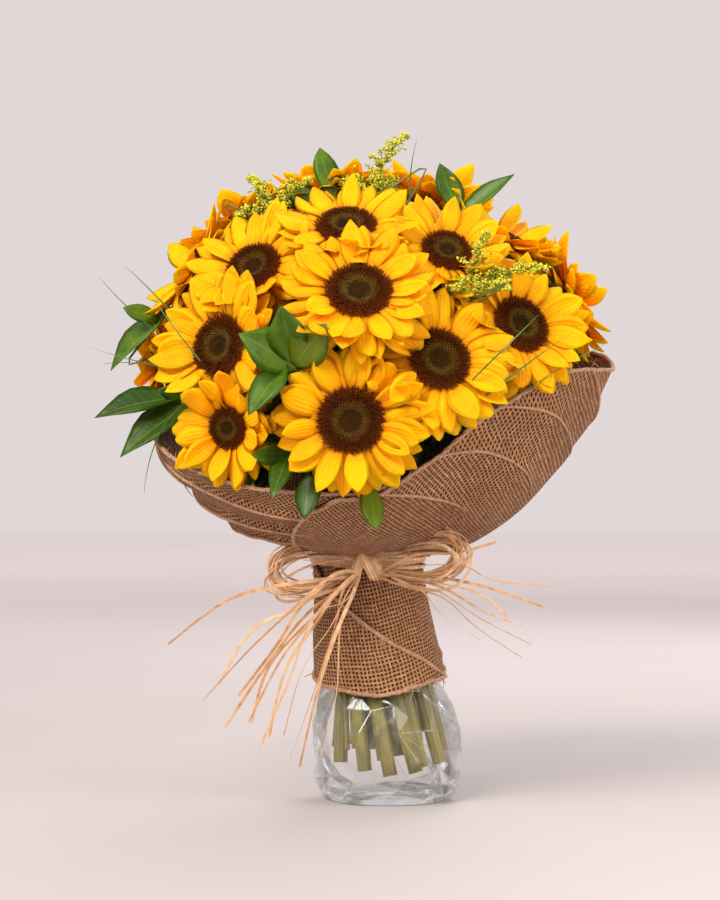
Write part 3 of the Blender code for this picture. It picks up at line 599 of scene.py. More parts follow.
# %% Planted pieces
class Plan:
    """The points that shapes are planted on."""

    COLUMNS = (("turn", "FLOAT_VECTOR", 3, 6), ("size", "FLOAT_VECTOR", 6, 9),
               ("lift", "FLOAT_VECTOR", 9, 12), ("lean", "FLOAT", 12, 13), ("tone", "FLOAT", 13, 14),
               ("pick", "INT", 14, 15))

    def __init__(self, name):
        self.name = name
        self.rows = []

    def plant(self, place, side, out, up, size, pick=0, lean=0.0, tone=0.5, lift=None):
        """side, out and up become the shape's own X, Y and Z."""
        turn = Matrix((side, out, up)).transposed().to_euler()
        self.rows.append((*place, *turn, *size, *(lift or up), lean, tone, pick))

    def grown(self, shapes, finish, twist, seed):
        table = np.array(self.rows, float)
        mesh = mesh_of("plan_of_" + self.name, table[:, :3])
        for label, kind, first, last in self.COLUMNS:
            values = table[:, first:last].ravel()
            note_on(mesh, label, values.astype(np.int32 if kind == "INT" else np.float32), kind)
        return with_tree(in_scene("plan_of_" + self.name, mesh), planted_shapes,
                         Shapes=shapes, Finish=finish, Twist=twist, Seed=seed)


print("a planted shape has", len(Plan.COLUMNS) + 1, "things to say")

# %% [markdown]
# ## Blades
# A petal, a sepal and a leaf are each a thin closed blade: five points across its face, three across
# its back, and an outline that swells and narrows from root to tip. Real petals of one flower differ,
# so a few are drawn with their own tip, curl, ripple and fold, and the tree picks among them.

# %% Blade shape
FACE_ACROSS, BACK_ACROSS = (-1.0, -0.52, 0.0, 0.52, 1.0), (0.55, 0.0, -0.55)


def blade(name, outline, cup, ridge, curl, fold, ripple, bent, thick):
    """A blade of length 1 along Y and half width 1 along X. outline gives its half width root to tip."""
    points, marks = [], []
    last = len(outline) - 1
    for i, half in enumerate(outline):
        t = i / last
        rise = curl * t * t + ripple * math.sin(t * 7.0)
        sway = bent * math.sin(t * math.pi * 0.5) ** 2
        for x in FACE_ACROSS:
            bulge = ridge * math.sin(math.pi * min(t * 1.2, 1)) if abs(x) == FACE_ACROSS[3] else 0
            points.append((x * half + sway, t, rise - cup * x * x * half + fold * abs(x) * half + bulge))
            marks.append((t, x))
        for x in BACK_ACROSS:
            depth = thick * min(1.0, half * 3)
            points.append((x * half + sway, t, rise - cup * x * x * half + fold * abs(x) * half - depth))
            marks.append((t, x))
    faces = tube_faces(len(outline), len(FACE_ACROSS) + len(BACK_ACROSS))
    return shape_called(name, points, faces, marks)


def tube_faces(rings, around):
    """The faces of a closed tube whose points go ring by ring, with both its ends."""
    faces = [(i * around + j, i * around + (j + 1) % around, (i + 1) * around + (j + 1) % around,
              (i + 1) * around + j) for i in range(rings - 1) for j in range(around)]
    return faces + [tuple(range(around - 1, -1, -1)), tuple(range((rings - 1) * around, rings * around))]


def shape_called(name, points, faces, marks):
    """An object that only the trees use. marks are the (along, across) of each point."""
    mesh = mesh_of(name, points, (), faces)
    note_on(mesh, "along", [mark[0] for mark in marks])
    note_on(mesh, "across", [mark[1] for mark in marks])
    turn_outwards(mesh)
    return bpy.data.objects.new(name, mesh)


def turn_outwards(mesh):
    """Makes all faces of a closed mesh point outwards."""
    bm = bmesh.new()
    bm.from_mesh(mesh)
    bmesh.ops.recalc_face_normals(bm, faces=bm.faces)
    bm.to_mesh(mesh)
    bm.free()


def box_of_shapes(name, shapes):
    """A collection outside the scene, which the trees pick from in the order of the names."""
    made = bpy.data.collections.new(name)
    for shape in shapes:
        made.objects.link(shape)
    print(name + ":", len(shapes))
    return made

# %% [markdown]
# ## Six petals, three leaves and two sepals
# Each row is one shape: its half widths from root to tip, and then its character. *Cup* bends its edges
# down, *ridge* raises two soft ribs, *curl* bends its tip, *fold* raises its edges, *ripple* makes it
# wavy and *bent* swings it sideways.

# %% The shapes
def blades(kind, rows):
    return box_of_shapes(kind + "_shapes", [blade(f"{kind}_{i}", outline, *character)
                                            for i, (outline, character) in enumerate(rows)])


# outline, then cup, ridge, curl, fold, ripple, bent and thickness
petal_shapes = blades("petal", [
    ((0.36, 0.60, 0.82, 0.95, 1.00, 0.98, 0.86, 0.58, 0.08), (0.22, 0.08, 0.15, 0.00, 0.05, 0.00, 0.03)),
    ((0.34, 0.56, 0.78, 0.93, 1.00, 1.00, 0.90, 0.66, 0.16), (0.40, 0.09, -0.50, 0.05, 0.08, 0.10, 0.03)),
    ((0.38, 0.64, 0.86, 0.98, 1.00, 0.93, 0.76, 0.46, 0.05), (0.10, 0.07, 0.70, 0.25, 0.06, -0.14, 0.03)),
    ((0.32, 0.54, 0.75, 0.90, 0.98, 1.00, 0.94, 0.72, 0.22), (0.45, 0.10, -0.20, 0.00, 0.11, 0.16, 0.03)),
    ((0.36, 0.60, 0.80, 0.94, 1.00, 0.96, 0.82, 0.52, 0.06), (-0.15, 0.07, 1.05, 0.35, 0.05, 0.06, 0.03)),
    ((0.38, 0.62, 0.80, 0.91, 0.97, 0.98, 0.90, 0.66, 0.14), (0.50, 0.09, -0.85, 0.00, 0.09, -0.16, 0.03))])
leaf_shapes = blades("leaf", [
    ((0.10, 0.55, 0.88, 1.00, 0.95, 0.74, 0.42, 0.03), (0.10, 0.03, -0.10, 0.22, 0.02, 0.05, 0.03)),
    ((0.10, 0.48, 0.80, 0.97, 1.00, 0.86, 0.54, 0.04), (0.20, 0.03, -0.45, 0.30, 0.05, -0.10, 0.03)),
    ((0.08, 0.42, 0.76, 0.96, 0.98, 0.78, 0.40, 0.02), (0.05, 0.02, 0.30, 0.36, -0.04, 0.12, 0.03))])
sepal_shapes = blades("sepal", [
    ((0.80, 1.00, 0.95, 0.72, 0.46, 0.25, 0.10, 0.02), (0.2, 0.03, 0.5, 0.1, 0.05, 0.1, 0.06)),
    ((0.78, 1.00, 0.90, 0.66, 0.42, 0.22, 0.10, 0.02), (0.2, 0.03, -0.6, 0.1, 0.05, -0.2, 0.06))])

# %% [markdown]
# ## Reading the stems
# A stem is solid from its foot to its seed head, so its line can be read back from its own rings:
# start at the ring of the foot and walk outwards, ring by ring. The middle of each ring is a point of
# the line, and the mean distance to it is the stem's radius there.

# %% Rings of a solid
FOOT_RING = 0.0135   # the points this close to the lowest one are the ring of the foot


def joined_points(mesh):
    """The mesh's own places, each once, and the places that each is joined to."""
    places = {}
    merged = [places.setdefault(tuple(round(x, 6) for x in v.co), len(places)) for v in mesh.vertices]
    links = [set() for _ in places]
    for edge in mesh.edges:
        a, b = (merged[v] for v in edge.vertices)
        links[a].add(b)
        links[b].add(a)
    return [Vector(place) for place in places], links


def rings_of(node):
    """The middles and radii of a swept solid's rings, from its lowest end."""
    spots, links = joined_points(bpy.data.objects[node].data)
    lowest = min(spots, key=lambda v: v.z)
    ring = {i for i, v in enumerate(spots) if (v - lowest).length < FOOT_RING}
    done, rings = set(), []
    while ring:
        middle = sum((spots[i] for i in ring), Vector()) / len(ring)
        rings.append((middle, sum((spots[i] - middle).length for i in ring) / len(ring)))
        done |= ring
        ring = {j for i in ring for j in links[i]} - done
    return rings


print("the first stem has", len(rings_of("sunflower_01_stem")), "rings")

# %% [markdown]
# ## A smooth line through rings
# The rings of a solid stand a few centimetres apart, and a stalk that was drawn straight from one to
# the next would show its corners. So a curve is laid through them that passes every ring and bends
# evenly between two, and the radius changes evenly too.

# %% Smooth lines
def along_rings(rings, parts=4):
    """A smooth line with radii through rings."""
    line = []
    for i in range(len(rings) - 1):
        near = [rings[max(0, min(len(rings) - 1, i + k))] for k in (-1, 0, 1, 2)]
        for step in range(parts):
            t = step / parts
            weights = (-0.5 * t + t * t - 0.5 * t ** 3, 1 - 2.5 * t * t + 1.5 * t ** 3,
                       0.5 * t + 2 * t * t - 1.5 * t ** 3, -0.5 * t * t + 0.5 * t ** 3)
            spot = sum((w * n[0] for w, n in zip(weights, near)), Vector())
            line.append((spot, mix(near[1][1], near[2][1], t)))
    return line + [rings[-1]]


print("the first stem's line has", len(along_rings(rings_of("sunflower_01_stem"))), "points")

# %% [markdown]
# ## Sweeping a shape along a line
# Stalks, twigs, hems, grass and raffia are all a small outline that is carried along a line. The two
# trees differ in the outline only: a circle whose points are pushed in and out gives a ribbed stalk, and
# a thin rectangle gives a flat strand that may turn over as it goes.

# %% Trees: a ribbed stalk and a flat strand
STALK_SIDES = 18   # two for each of a stalk's nine ribs


def stored(w, geometry, name, value):
    """The geometry, with a number of its own at each point."""
    return w.node("GeometryNodeStoreNamedAttribute", {"Geometry": geometry, "Name": name, "Value": value},
                  data_type="FLOAT")


def ribbed_outline(w, given):
    rib = w.minus(w.times(w.maths("MODULO", w.node("GeometryNodeInputIndex"), 2.0), 2.0), 1.0)
    circle = w.node("GeometryNodeCurvePrimitiveCircle", {
        "Resolution": STALK_SIDES, "Radius": given["Width"]}, mode="RADIUS")
    push = w.scaled(w.node("GeometryNodeInputPosition"), w.times(rib, given["Thickness"]))
    return w.node("GeometryNodeSetPosition", {"Geometry": circle, "Offset": push}), rib


def flat_outline(w, given):
    rectangle = w.node("GeometryNodeCurvePrimitiveQuadrilateral", {
        "Width": given["Width"], "Height": given["Thickness"]}, mode="RECTANGLE")
    return rectangle, w.minus(w.maths("MODULO", w.node("GeometryNodeInputIndex"), 2.0), 0.5)


def build_swept(name, flat):
    made, w, given, out = tree_called(name, [
        ("Width", "Float", 1.0), ("Thickness", "Float", 0.12), ("Finish", "Material", None)])
    line = w.node("GeometryNodeMeshToCurve", {"Mesh": given["Geometry"]})
    if flat:
        line = w.node("GeometryNodeSetCurveTilt", {"Curve": line, "Tilt": named(w, "tilt")})
    girth = named(w, "girth")
    line = w.node("GeometryNodeSetCurveRadius", {"Curve": line, "Radius": girth})
    profile, rib = flat_outline(w, given) if flat else ribbed_outline(w, given)
    swept = w.node("GeometryNodeCurveToMesh", {
        "Curve": line, "Profile Curve": stored(w, profile, "rib", rib), "Fill Caps": True})
    if "Scale" in swept.inputs:
        w.put(swept.inputs["Scale"], girth)
    real = w.node("GeometryNodeRealizeInstances", {"Geometry": swept})
    soft = w.node("GeometryNodeSetShadeSmooth", {"Geometry": real, "Shade Smooth": not flat})
    finished(w, soft, given, out)
    return made


ribbed_stalk = build_swept("ribbed_stalk", False)
flat_strand = build_swept("flat_strand", True)
print("trees:", ribbed_stalk.name, flat_strand.name)

# %% [markdown]
# ## Swept pieces
# A plan for these trees is a set of lines. Each point of a line says how thick the outline is there and
# how far it has turned, and each line has a tone of its own, so that neighbours differ.

# %% Swept pieces
def swept_piece(name, lines, tree, finish, width, thickness):
    """lines: each a list of (point, girth) or (point, girth, tilt). One plain piece from all of them."""
    points, edges, girths, tilts, tones = [], [], [], [], []
    for number, line in enumerate(lines):
        start = len(points)
        points += [row[0] for row in line]
        girths += [row[1] for row in line]
        tilts += [row[2] if len(row) > 2 else 0.0 for row in line]
        tones += [(number * 0.618 + 0.31) % 1.0] * len(line)
        edges += [(i, i + 1) for i in range(start, len(points) - 1)]
    mesh = mesh_of("plan_of_" + name, points, edges)
    for label, values in (("girth", girths), ("tilt", tilts), ("tone", tones)):
        note_on(mesh, label, values)
    return with_tree(in_scene("plan_of_" + name, mesh), tree, Width=width, Thickness=thickness,
                     Finish=finish)


print("lines can be swept by", ribbed_stalk.name, "and", flat_strand.name)

# %% [markdown]
# ## Twenty sunflowers
# Each bloom is a dark seed head in a wheel of petals on a stalk with nine ribs. The table says where
# each bloom is, seen from the dome, which way it looks, how large it is and how far its petals are
# raised. The tenth is a small one that is just opening.

# %% The blooms' table
# bearing, climb, distance, bearing and climb of its face, seed head radius, petal length, cup
BLOOMS = [
    (-94, -12, .163, -93, -2, .0250, .031, 12), (-70, 4, .158, -72, 18, .0240, .033, 12),
    (-92, 22, .163, -90, 36, .0250, .031, 16), (-133, 8, .162, -126, 12, .0240, .033, 16),
    (-132, 33, .152, -112, 34, .0215, .031, 14), (-99, 50, .149, -92, 52, .0230, .030, 16),
    (-41, 14, .160, -62, 24, .0230, .033, 14), (-57, 40, .148, -76, 38, .0195, .030, 22),
    (-8, 46, .154, -28, 66, .0200, .030, 20), (-131, -14, .162, -118, -6, .0160, .030, 34),
    (-178, 33, .163, -168, 30, .0185, .033, 18), (171, 5, .166, 171, 4, .0170, .031, 20),
    (159, 50, .160, 148, 52, .0200, .033, 18), (150, 80, .153, 150, 80, .0210, .033, 18),
    (38, 64, .156, 40, 66, .0205, .033, 18), (6, 22, .176, 4, 20, .0190, .033, 18),
    (44, 30, .176, 44, 32, .0205, .034, 16), (84, 20, .168, 86, 24, .0215, .034, 14),
    (132, 20, .168, 132, 22, .0205, .034, 14), (103, 52, .162, 103, 54, .0200, .033, 18)]
SMALL_BLOOM = 9
STEM_NODES = [f"sunflower_{i + 1:02d}_stem" for i in range(len(BLOOMS))]


def bloom_frame(number):
    """The bloom's middle, and the side, up and face directions of its seed head."""
    bearing, climb, reach, face_bearing, face_climb = BLOOMS[number][:5]
    face = heading(face_bearing, face_climb)
    side = UP.cross(face).normalized()
    return DOME + heading(bearing, climb) * reach, side, face.cross(side), face


def towards(start, other, angle):
    """The direction that lies an angle from one unit vector towards another at right angles to it."""
    return start * math.cos(angle) + other * math.sin(angle)


print("blooms:", len(BLOOMS))

# %% [markdown]
# ## Stalks
# A stalk keeps the line of its solid up to the neck. There it bends into the bloom's own direction and
# swells into the green cup that carries the seed head. We replace the last rings with a few of our own,
# so that the cup is round whatever way the bloom looks.

# %% Stalks
STALK_RADIUS, NECK_LENGTH = 0.0055, 0.034
# distance from the seed head's middle along its face, and radius; the cup's are shares of the head's
NECK = [(-.026, .0056), (-.018, .0074)]
CUP = [(-.013, .30), (-.0095, .62), (-.004, .88), (-.0005, .93), (.0012, .80)]


def add_stalk(number):
    middle, _, _, face = bloom_frame(number)
    disc = BLOOMS[number][5]
    rings = rings_of(STEM_NODES[number])
    stalk = [rings[0]]
    for ring in rings[1:]:
        if (ring[0] - middle).length < NECK_LENGTH or ring[1] > STALK_RADIUS * 1.2:
            break
        stalk.append(ring)
    neck = [(middle + face * d, r) for d, r in NECK + [(d, share * disc) for d, share in CUP]]
    line = along_rings(stalk + neck[:1])[:-1] + neck
    piece = swept_piece(f"stalk_{number + 1:02d}", [line], ribbed_stalk, STEM, 1.0, 0.035)
    return belongs(piece, "stem", STEM_NODES[number])


for number in range(len(BLOOMS)):
    stalk = add_stalk(number)
print("stalks:", len(BLOOMS), "the last has", len(stalk.data.polygons), "faces")

# %% [markdown]
# ## Florets
# Four tiny closed shapes stand for the florets from bud to open flower: a square foot, a waist above it
# and four tips round a hollow. A bud's tips meet, and an open floret's stand wide apart.

# %% Florets
SPIKES = 4


def ring_of(count, radius, height, turned=0.0):
    """Points round the Z axis, turned by a share of the step from one to the next."""
    angles = [2 * math.pi * (i + turned) / count for i in range(count)]
    return [(radius * math.cos(a), radius * math.sin(a), height) for a in angles]


def floret(name, spread, height, waist):
    """A tiny closed flower: a ring of points at its foot, one at its waist, and its tips."""
    points = (ring_of(SPIKES, 0.5, 0.0) + ring_of(SPIKES, waist, height * 0.62)
              + ring_of(SPIKES, spread, height, 0.5) + [(0, 0, height * 0.55)])
    faces = [tuple(range(SPIKES - 1, -1, -1))]
    hollow = 3 * SPIKES
    for i in range(SPIKES):
        low, next_low = SPIKES + i, SPIKES + (i + 1) % SPIKES
        tip = 2 * SPIKES + i
        faces += [(i, (i + 1) % SPIKES, next_low, low), (low, next_low, tip),
                  (tip, next_low, hollow), (low, tip, hollow)]
    return shape_called(name, points, faces, [(point[2] / height, 0.0) for point in points])


florets = box_of_shapes("florets", [floret("floret_0_bud", 0.10, 0.75, 0.52),
                                    floret("floret_1_button", 0.30, 0.95, 0.46),
                                    floret("floret_2_open", 0.62, 1.25, 0.34),
                                    floret("floret_3_wide", 0.85, 1.45, 0.28)])

# %% [markdown]
# ## The golden angle
# In a real seed head each floret stands 137.5 degrees round from the one before and a little further
# out, and that gives the crossing spirals that we see. The tree does just that: the index gives the
# angle, its square root gives the distance, and a curve lifts them into a shallow bowl. The outer ones
# are open, taller and lean outwards.

# %% Tree: a seed head
GOLDEN_ANGLE = 2.39996323


def floret_places(w, given):
    """Each floret's ring (0 in the middle, 1 at the rim), its angle and its place."""
    index = w.node("GeometryNodeInputIndex")
    ring = w.maths("SQRT", w.maths("DIVIDE", w.plus(index, 0.5), given["Florets"]))
    angle = w.times(index, GOLDEN_ANGLE)
    radius = w.times(ring, given["Radius"])
    dome = w.times(given["Dome"], w.minus(1.0, w.maths("POWER", ring, 4.0)))
    dip = w.times(given["Dip"], w.minus(1.0, w.spread(ring, 0.15, 0.60)))
    return ring, angle, w.xyz(w.times(radius, w.maths("COSINE", angle)),
                              w.times(radius, w.maths("SINE", angle)), w.minus(dome, dip))


def floret_size(w, given, ring, chance):
    pitch = w.maths("DIVIDE", given["Radius"], w.maths("SQRT", given["Florets"]))
    size = w.times(pitch, w.plus(1.55, w.times(chance, 0.45)))
    return w.xyz(size, size, w.times(size, w.plus(0.70, w.times(w.spread(ring, 0.45, 0.75), 0.80))))


def back_plate(w, given):
    """A flat disc under the florets, which closes the gaps between them."""
    ball = w.node("GeometryNodeMeshUVSphere", {"Segments": 24, "Rings": 8, "Radius": 1.0})
    across = w.times(given["Radius"], 0.97)
    plate = w.node("GeometryNodeTransform", {"Geometry": ball, "Scale": w.xyz(across, across, 0.0010)})
    return stored(w, plate, "ring", 1.0)


def build_seed_head():
    made, w, given, out = tree_called("seed_head", [
        ("Shapes", "Collection", None), ("Radius", "Float", 0.025), ("Florets", "Int", 420),
        ("Dome", "Float", 0.004), ("Dip", "Float", 0.002), ("Seed", "Int", 1),
        ("Finish", "Material", None)])
    ring, angle, place = floret_places(w, given)
    chance = chance_of(w, given["Seed"])
    spots = w.node("GeometryNodePoints", {"Count": given["Florets"]})
    spots = w.node("GeometryNodeSetPosition", {"Geometry": spots, "Position": place})
    spots = stored(w, stored(w, spots, "ring", ring), "tone", chance)
    turn = w.xyz(w.times(w.minus(chance, 0.5), 0.5), w.times(w.maths("POWER", ring, 3.0), 0.75), angle)
    kind = w.maths("FLOOR", w.plus(w.times(w.spread(ring, 0.34, 0.78), 3.0), w.times(chance, 0.9)))
    planted = w.node("GeometryNodeInstanceOnPoints", {
        "Points": spots, "Instance": picked_from(w, given["Shapes"]), "Pick Instance": True,
        "Instance Index": kind, "Rotation": turn, "Scale": floret_size(w, given, ring, chance)})
    both = w.node("GeometryNodeJoinGeometry")
    w.put(both.inputs[0], planted)
    w.put(both.inputs[0], back_plate(w, given))
    finished(w, w.node("GeometryNodeRealizeInstances", {"Geometry": both}), given, out)
    return made


seed_head = build_seed_head()
print("tree:", seed_head.name)

# %% [markdown]
# ## Twenty seed heads
# Each head is grown flat at the origin and then moved, in its mesh, to the top of its stalk. A larger
# head gets more florets, not larger ones.

# %% Seed heads
FLORETS_PER_METRE = 19000   # for each metre of the head's radius


def add_seed_head(number):
    middle, side, up, face = bloom_frame(number)
    disc = BLOOMS[number][5]
    name = f"plan_of_seed_head_{number + 1:02d}"
    piece = with_tree(in_scene(name, mesh_of(name, [(0, 0, 0)])), seed_head, Shapes=florets,
                      Radius=disc * 0.96, Florets=int(disc * FLORETS_PER_METRE), Dome=0.0042, Dip=0.0030,
                      Seed=number, Finish=DISC)
    turn = Matrix((side, up, face)).transposed().to_4x4()
    piece.data.transform(Matrix.Translation(middle + face * 0.0012) @ turn)
    return belongs(piece, "stem")


for number in range(len(BLOOMS)):
    head = add_seed_head(number)
print("seed heads: the last has", len(head.data.polygons), "faces")

# %% [markdown]
# ## What petals must keep clear of
# In a tight bunch the blooms push each other's petals forwards. So before a petal is planted we look
# along it for a neighbour's head or for the wrap. The solids serve for this: one search tree holds
# all their faces and answers quickly what a line would meet, or what lies near a point.

# %% Looking ahead
CLEARANCE = 0.0030


def solid_of(nodes):
    """One search tree for several solids."""
    spots, faces = [], []
    for node in nodes:
        mesh, start = bpy.data.objects[node].data, len(spots)
        spots += [v.co.copy() for v in mesh.vertices]
        faces += [[start + i for i in p.vertices] for p in mesh.polygons]
    return BVHTree.FromPolygons(spots, faces)


def blocked(solid, root, way, length):
    """True where a petal from root along way would meet the solid."""
    if solid.ray_cast(root, way, length * 1.05)[0] is not None:
        return True
    return any(solid.find_nearest(root + way * length * t, CLEARANCE)[0] is not None for t in (0.6, 1.0))


def raised_clear(solid, root, out, face, climb, disc, length):
    """The petal's way, raised in steps until it is free, and its length. A caught one is shortened."""
    for _ in range(8):
        way = towards(out, face, math.radians(climb))
        if not blocked(solid, root + way * disc * 0.3, way, length - disc * 0.3):
            return way, length
        climb = min(climb + 11, 56)
    return way, length * 0.8


WRAP_SOLID = solid_of(["burlap_collar"])
print("petals keep", CLEARANCE, "m clear")

# %% [markdown]
# ## Petals of a bloom
# Two wheels of petals stand round each seed head, the back wheel turned half a petal round and lying
# flatter. Every petal gets its own length, width, yaw, roll and climb, drawn from a fixed seed. Two
# blooms touch a neighbour that stands in front of them, so the petals on that side bend back under it.

# %% Petals of a bloom
# petals that pass under a neighbour: bloom, the neighbour, and how far they bend back for it
UNDER = {3: (SMALL_BLOOM, 42), 1: (0, 26)}
SMALL_BLOOM_PETALS, USUAL_LENGTH = 15, 0.031


def turned_a_little(way, face, yaw, roll):
    """The across, along and over of a petal that goes its way, after a yaw and a roll."""
    over = (face - way * face.dot(way)).normalized()
    across = way.cross(over).normalized()
    along = towards(way, across, yaw).normalized()
    over = towards(over, across, roll).normalized()
    across = along.cross(over).normalized()
    return across, along, across.cross(along)


def add_petals(number):
    middle, side, up, face = bloom_frame(number)
    disc, length, cup = BLOOMS[number][5:8]
    rng = np.random.default_rng(700 + number)
    others = [n for i, n in enumerate(STEM_NODES) if i != number and SMALL_BLOOM not in (number, i)]
    others = solid_of(others + ["burlap_collar"])
    neighbour, bend_back = UNDER.get(number, (number, 0))
    under = (bloom_frame(neighbour)[0] - middle).normalized()
    plan = Plan(f"petals_{number + 1:02d}")
    count = int(round(disc * 600 + 7.5)) if number != SMALL_BLOOM else SMALL_BLOOM_PETALS
    for layer, (climb, grow, back) in enumerate(((cup - 4, 1.0, 0.0006), (cup - 20, 1.07, -0.0022))):
        for i in range(count):
            out = towards(side, up, 2 * math.pi * (i + 0.5 * layer + rng.uniform(-0.22, 0.22)) / count)
            own = length * grow * rng.uniform(0.88, 1.12) + disc * 0.16
            root = middle + out * disc * 0.86 + face * back
            lifted = climb + rng.uniform(-13, 14)
            if out.dot(under) > 0.72:
                lifted -= bend_back
                own *= 0.92
            way, own = raised_clear(others, root, out, face, lifted, disc, own)
            across, along, over = turned_a_little(way, face, math.radians(rng.uniform(-7, 7)),
                                                  math.radians(rng.uniform(-22, 22)))
            half = (0.0096 + 0.0010 * rng.standard_normal()) * (length / USUAL_LENGTH)
            plan.plant(root, across, along, over, (half, own, 0.0085), int(rng.integers(0, 6)),
                       rng.uniform(-0.006, 0.007), rng.uniform(0, 1), lift=face)
    return belongs(plan.grown(petal_shapes, PETAL, 0.10, number), "petals",
                   f"sunflower_{number + 1:02d}_petals")


for number in range(len(BLOOMS)):
    wheel = add_petals(number)
print("petals: the last wheel has", len(wheel.data.polygons), "faces")

# %% [markdown]
# ## Sepals
# Behind the petals, pointed green bracts hold the wheel. From the front they only close the gaps, but
# from the side and the back they are what makes the head look alive. Two rings of them are enough.

# %% Sepals
# how many, how far they climb, how far behind the head and how far out, as a share of its radius
SEPAL_RINGS = ((15, -8, -0.0045, 0.80), (12, -24, -0.0085, 0.80 - 0.12))


def add_sepals():
    plan = Plan("sepals")
    rng = np.random.default_rng(41)
    for number in range(len(BLOOMS)):
        middle, side, up, face = bloom_frame(number)
        disc = BLOOMS[number][5]
        for layer, (count, lifted, back, wide) in enumerate(SEPAL_RINGS):
            for i in range(count):
                out = towards(side, up, 2 * math.pi * (i + 0.5 * layer + rng.uniform(-0.2, 0.2)) / count)
                climb = math.radians(lifted + rng.uniform(-8, 8))
                way, over = towards(out, face, climb), towards(face, -out, climb)
                size = (disc * 0.17, disc * rng.uniform(0.62, 0.85), 0.006)
                plan.plant(middle + out * disc * wide + face * back, way.cross(over), way, over, size,
                           i % 2, 0.0, rng.uniform(0, 1))
    return belongs(plan.grown(sepal_shapes, SEPAL, 0.05, 3), "leaf")


sepals = add_sepals()
print("sepals:", len(sepals.data.polygons), "faces")

# %% [markdown]
# ## Leaves
# A sprig's stem is read from its solid in the same way as a sunflower's, up to where its leaves start.
# A leaf is planted by its base and the way it points. Its face is turned to the light, it is rolled a
# little, and it droops towards its tip under its own weight.

# %% Planting a leaf
def plant_leaf(plan, rng, base, way, length, width, roll=0.0, droop=8.0, facing=None):
    side = way.cross(facing or UP).normalized()
    over = side.cross(way).normalized()
    turn = Matrix.Rotation(math.radians(roll), 3, way)
    plan.plant(base, turn @ side, way, turn @ over, (width / 2, length, width * 0.62),
               int(rng.integers(0, 3)), -length * math.sin(math.radians(droop)), rng.uniform(0, 1),
               lift=UP)


def thin_rings(node, end, thickest, gap):
    """The rings of a solid's thin part, up to a gap before its end."""
    return [ring for ring in rings_of(node) if ring[1] < thickest and (ring[0] - end).length > gap]


# %% [markdown]
# ## Seven sprigs
# The sprigs between the blooms carry dark, waxy, pointed leaves. The table gives the end of each sprig
# as seen from the dome, and its leaves one by one. Two leaves hang out over the front of the wrap.

# %% Sprigs
# bearing, climb and distance of the sprig's end; then for each leaf
# (back from the end, bearing, climb, length, width, droop)
SPRIGS = {
    "left_high": (-176, 20, .166, [(0, -176, -46, .056, .024, 8), (.014, -150, 28, .030, .013, 5)]),
    "left_low": (-164, -5, .148, [(0, -168, -8, .064, .022, 10), (.010, -158, -34, .066, .024, 8),
                                  (.020, -150, 14, .040, .016, 8)]),
    "centre": (-108, 1, .159, [(0, -152, 30, .056, .029, 6), (.004, -116, 62, .052, .025, 4),
                               (.006, -52, 42, .046, .027, 4), (.012, -138, -42, .044, .022, 6)]),
    "front": (-114, -21, .142, [(0, -112, -36, .046, .017, 12), (.012, -140, 6, .036, .015, 6)]),
    "top": (-128, 73, .144, [(0, 170, 82, .046, .018, 6), (.008, -10, 66, .036, .016, 6),
                             (.016, 176, 44, .052, .020, 8)]),
    "right": (-8, 61, .150, [(0, 150, 74, .046, .023, 8), (.006, 2, 40, .058, .014, 4)]),
    "back": (108, 12, .150, [(0, 104, 6, .050, .022, 10), (.008, 132, 34, .044, .020, 8),
                             (.016, 100, -20, .040, .018, 8)])}
# leaves that hang out over the front of the collar: base, way, length and width
OVER_THE_RIM = [((-.060, -.141, .263), (-.10, -.42, -.90), .040, .020),
                ((-.016, -.138, .258), (.12, -.34, -.94), .043, .019)]
SPRIG_GIRTH, LEAVES_START = 0.0034, 0.012
LONGER, WIDER = 1.12, 1.22


def add_sprig(name):
    bearing, climb, reach, leaves = SPRIGS[name]
    rng = np.random.default_rng(90 + len(name))
    end = DOME + heading(bearing, climb) * reach
    rings = thin_rings("leafy_sprig_" + name, end, SPRIG_GIRTH, LEAVES_START)
    back = (rings[-1][0] - end).normalized()
    line = along_rings(rings + [(end + back * 0.010, 0.0016), (end, 0.0012)])
    belongs(swept_piece(f"sprig_{name}_stem", [line], ribbed_stalk, STEM, 1.0, 0.02), "stem",
            "leafy_sprig_" + name)
    plan = Plan(f"sprig_{name}_leaves")
    facing = (heading(bearing, climb) + Vector((0, -0.8 if bearing < 0 else 0, 0.25))).normalized()
    for offset, leaf_bearing, leaf_climb, length, width, droop in leaves:
        plant_leaf(plan, rng, end + back * offset, heading(leaf_bearing, leaf_climb), length * LONGER,
                   width * WIDER, rng.uniform(-24, 24), droop, facing)
    for base, way, length, width in OVER_THE_RIM if name == "front" else ():
        plant_leaf(plan, rng, Vector(base), Vector(way).normalized(), length, width, 180, 0)
    return belongs(plan.grown(leaf_shapes, LEAF, 0.05, 5), "leaf")


for name in SPRIGS:
    leaves = add_sprig(name)
print("sprigs:", len(SPRIGS), "the last one's leaves have", len(leaves.data.polygons), "faces")

# %% [markdown]
# ## Foliage behind the blooms
# Between the heads the bunch is filled with leaves, deep and dark, so that no one looks straight
# through it. They are spread by the golden angle over a smaller globe inside the blooms, and each
# leans its own way. A leaf that would meet the wrap is left out.

# %% Foliage behind the blooms
FILLER_LEAVES, GOLDEN_DEGREES = 360, 137.508
LOWEST, SPAN = -0.55, 1.45   # the globe's lowest leaf and its span, as sines of their climbs


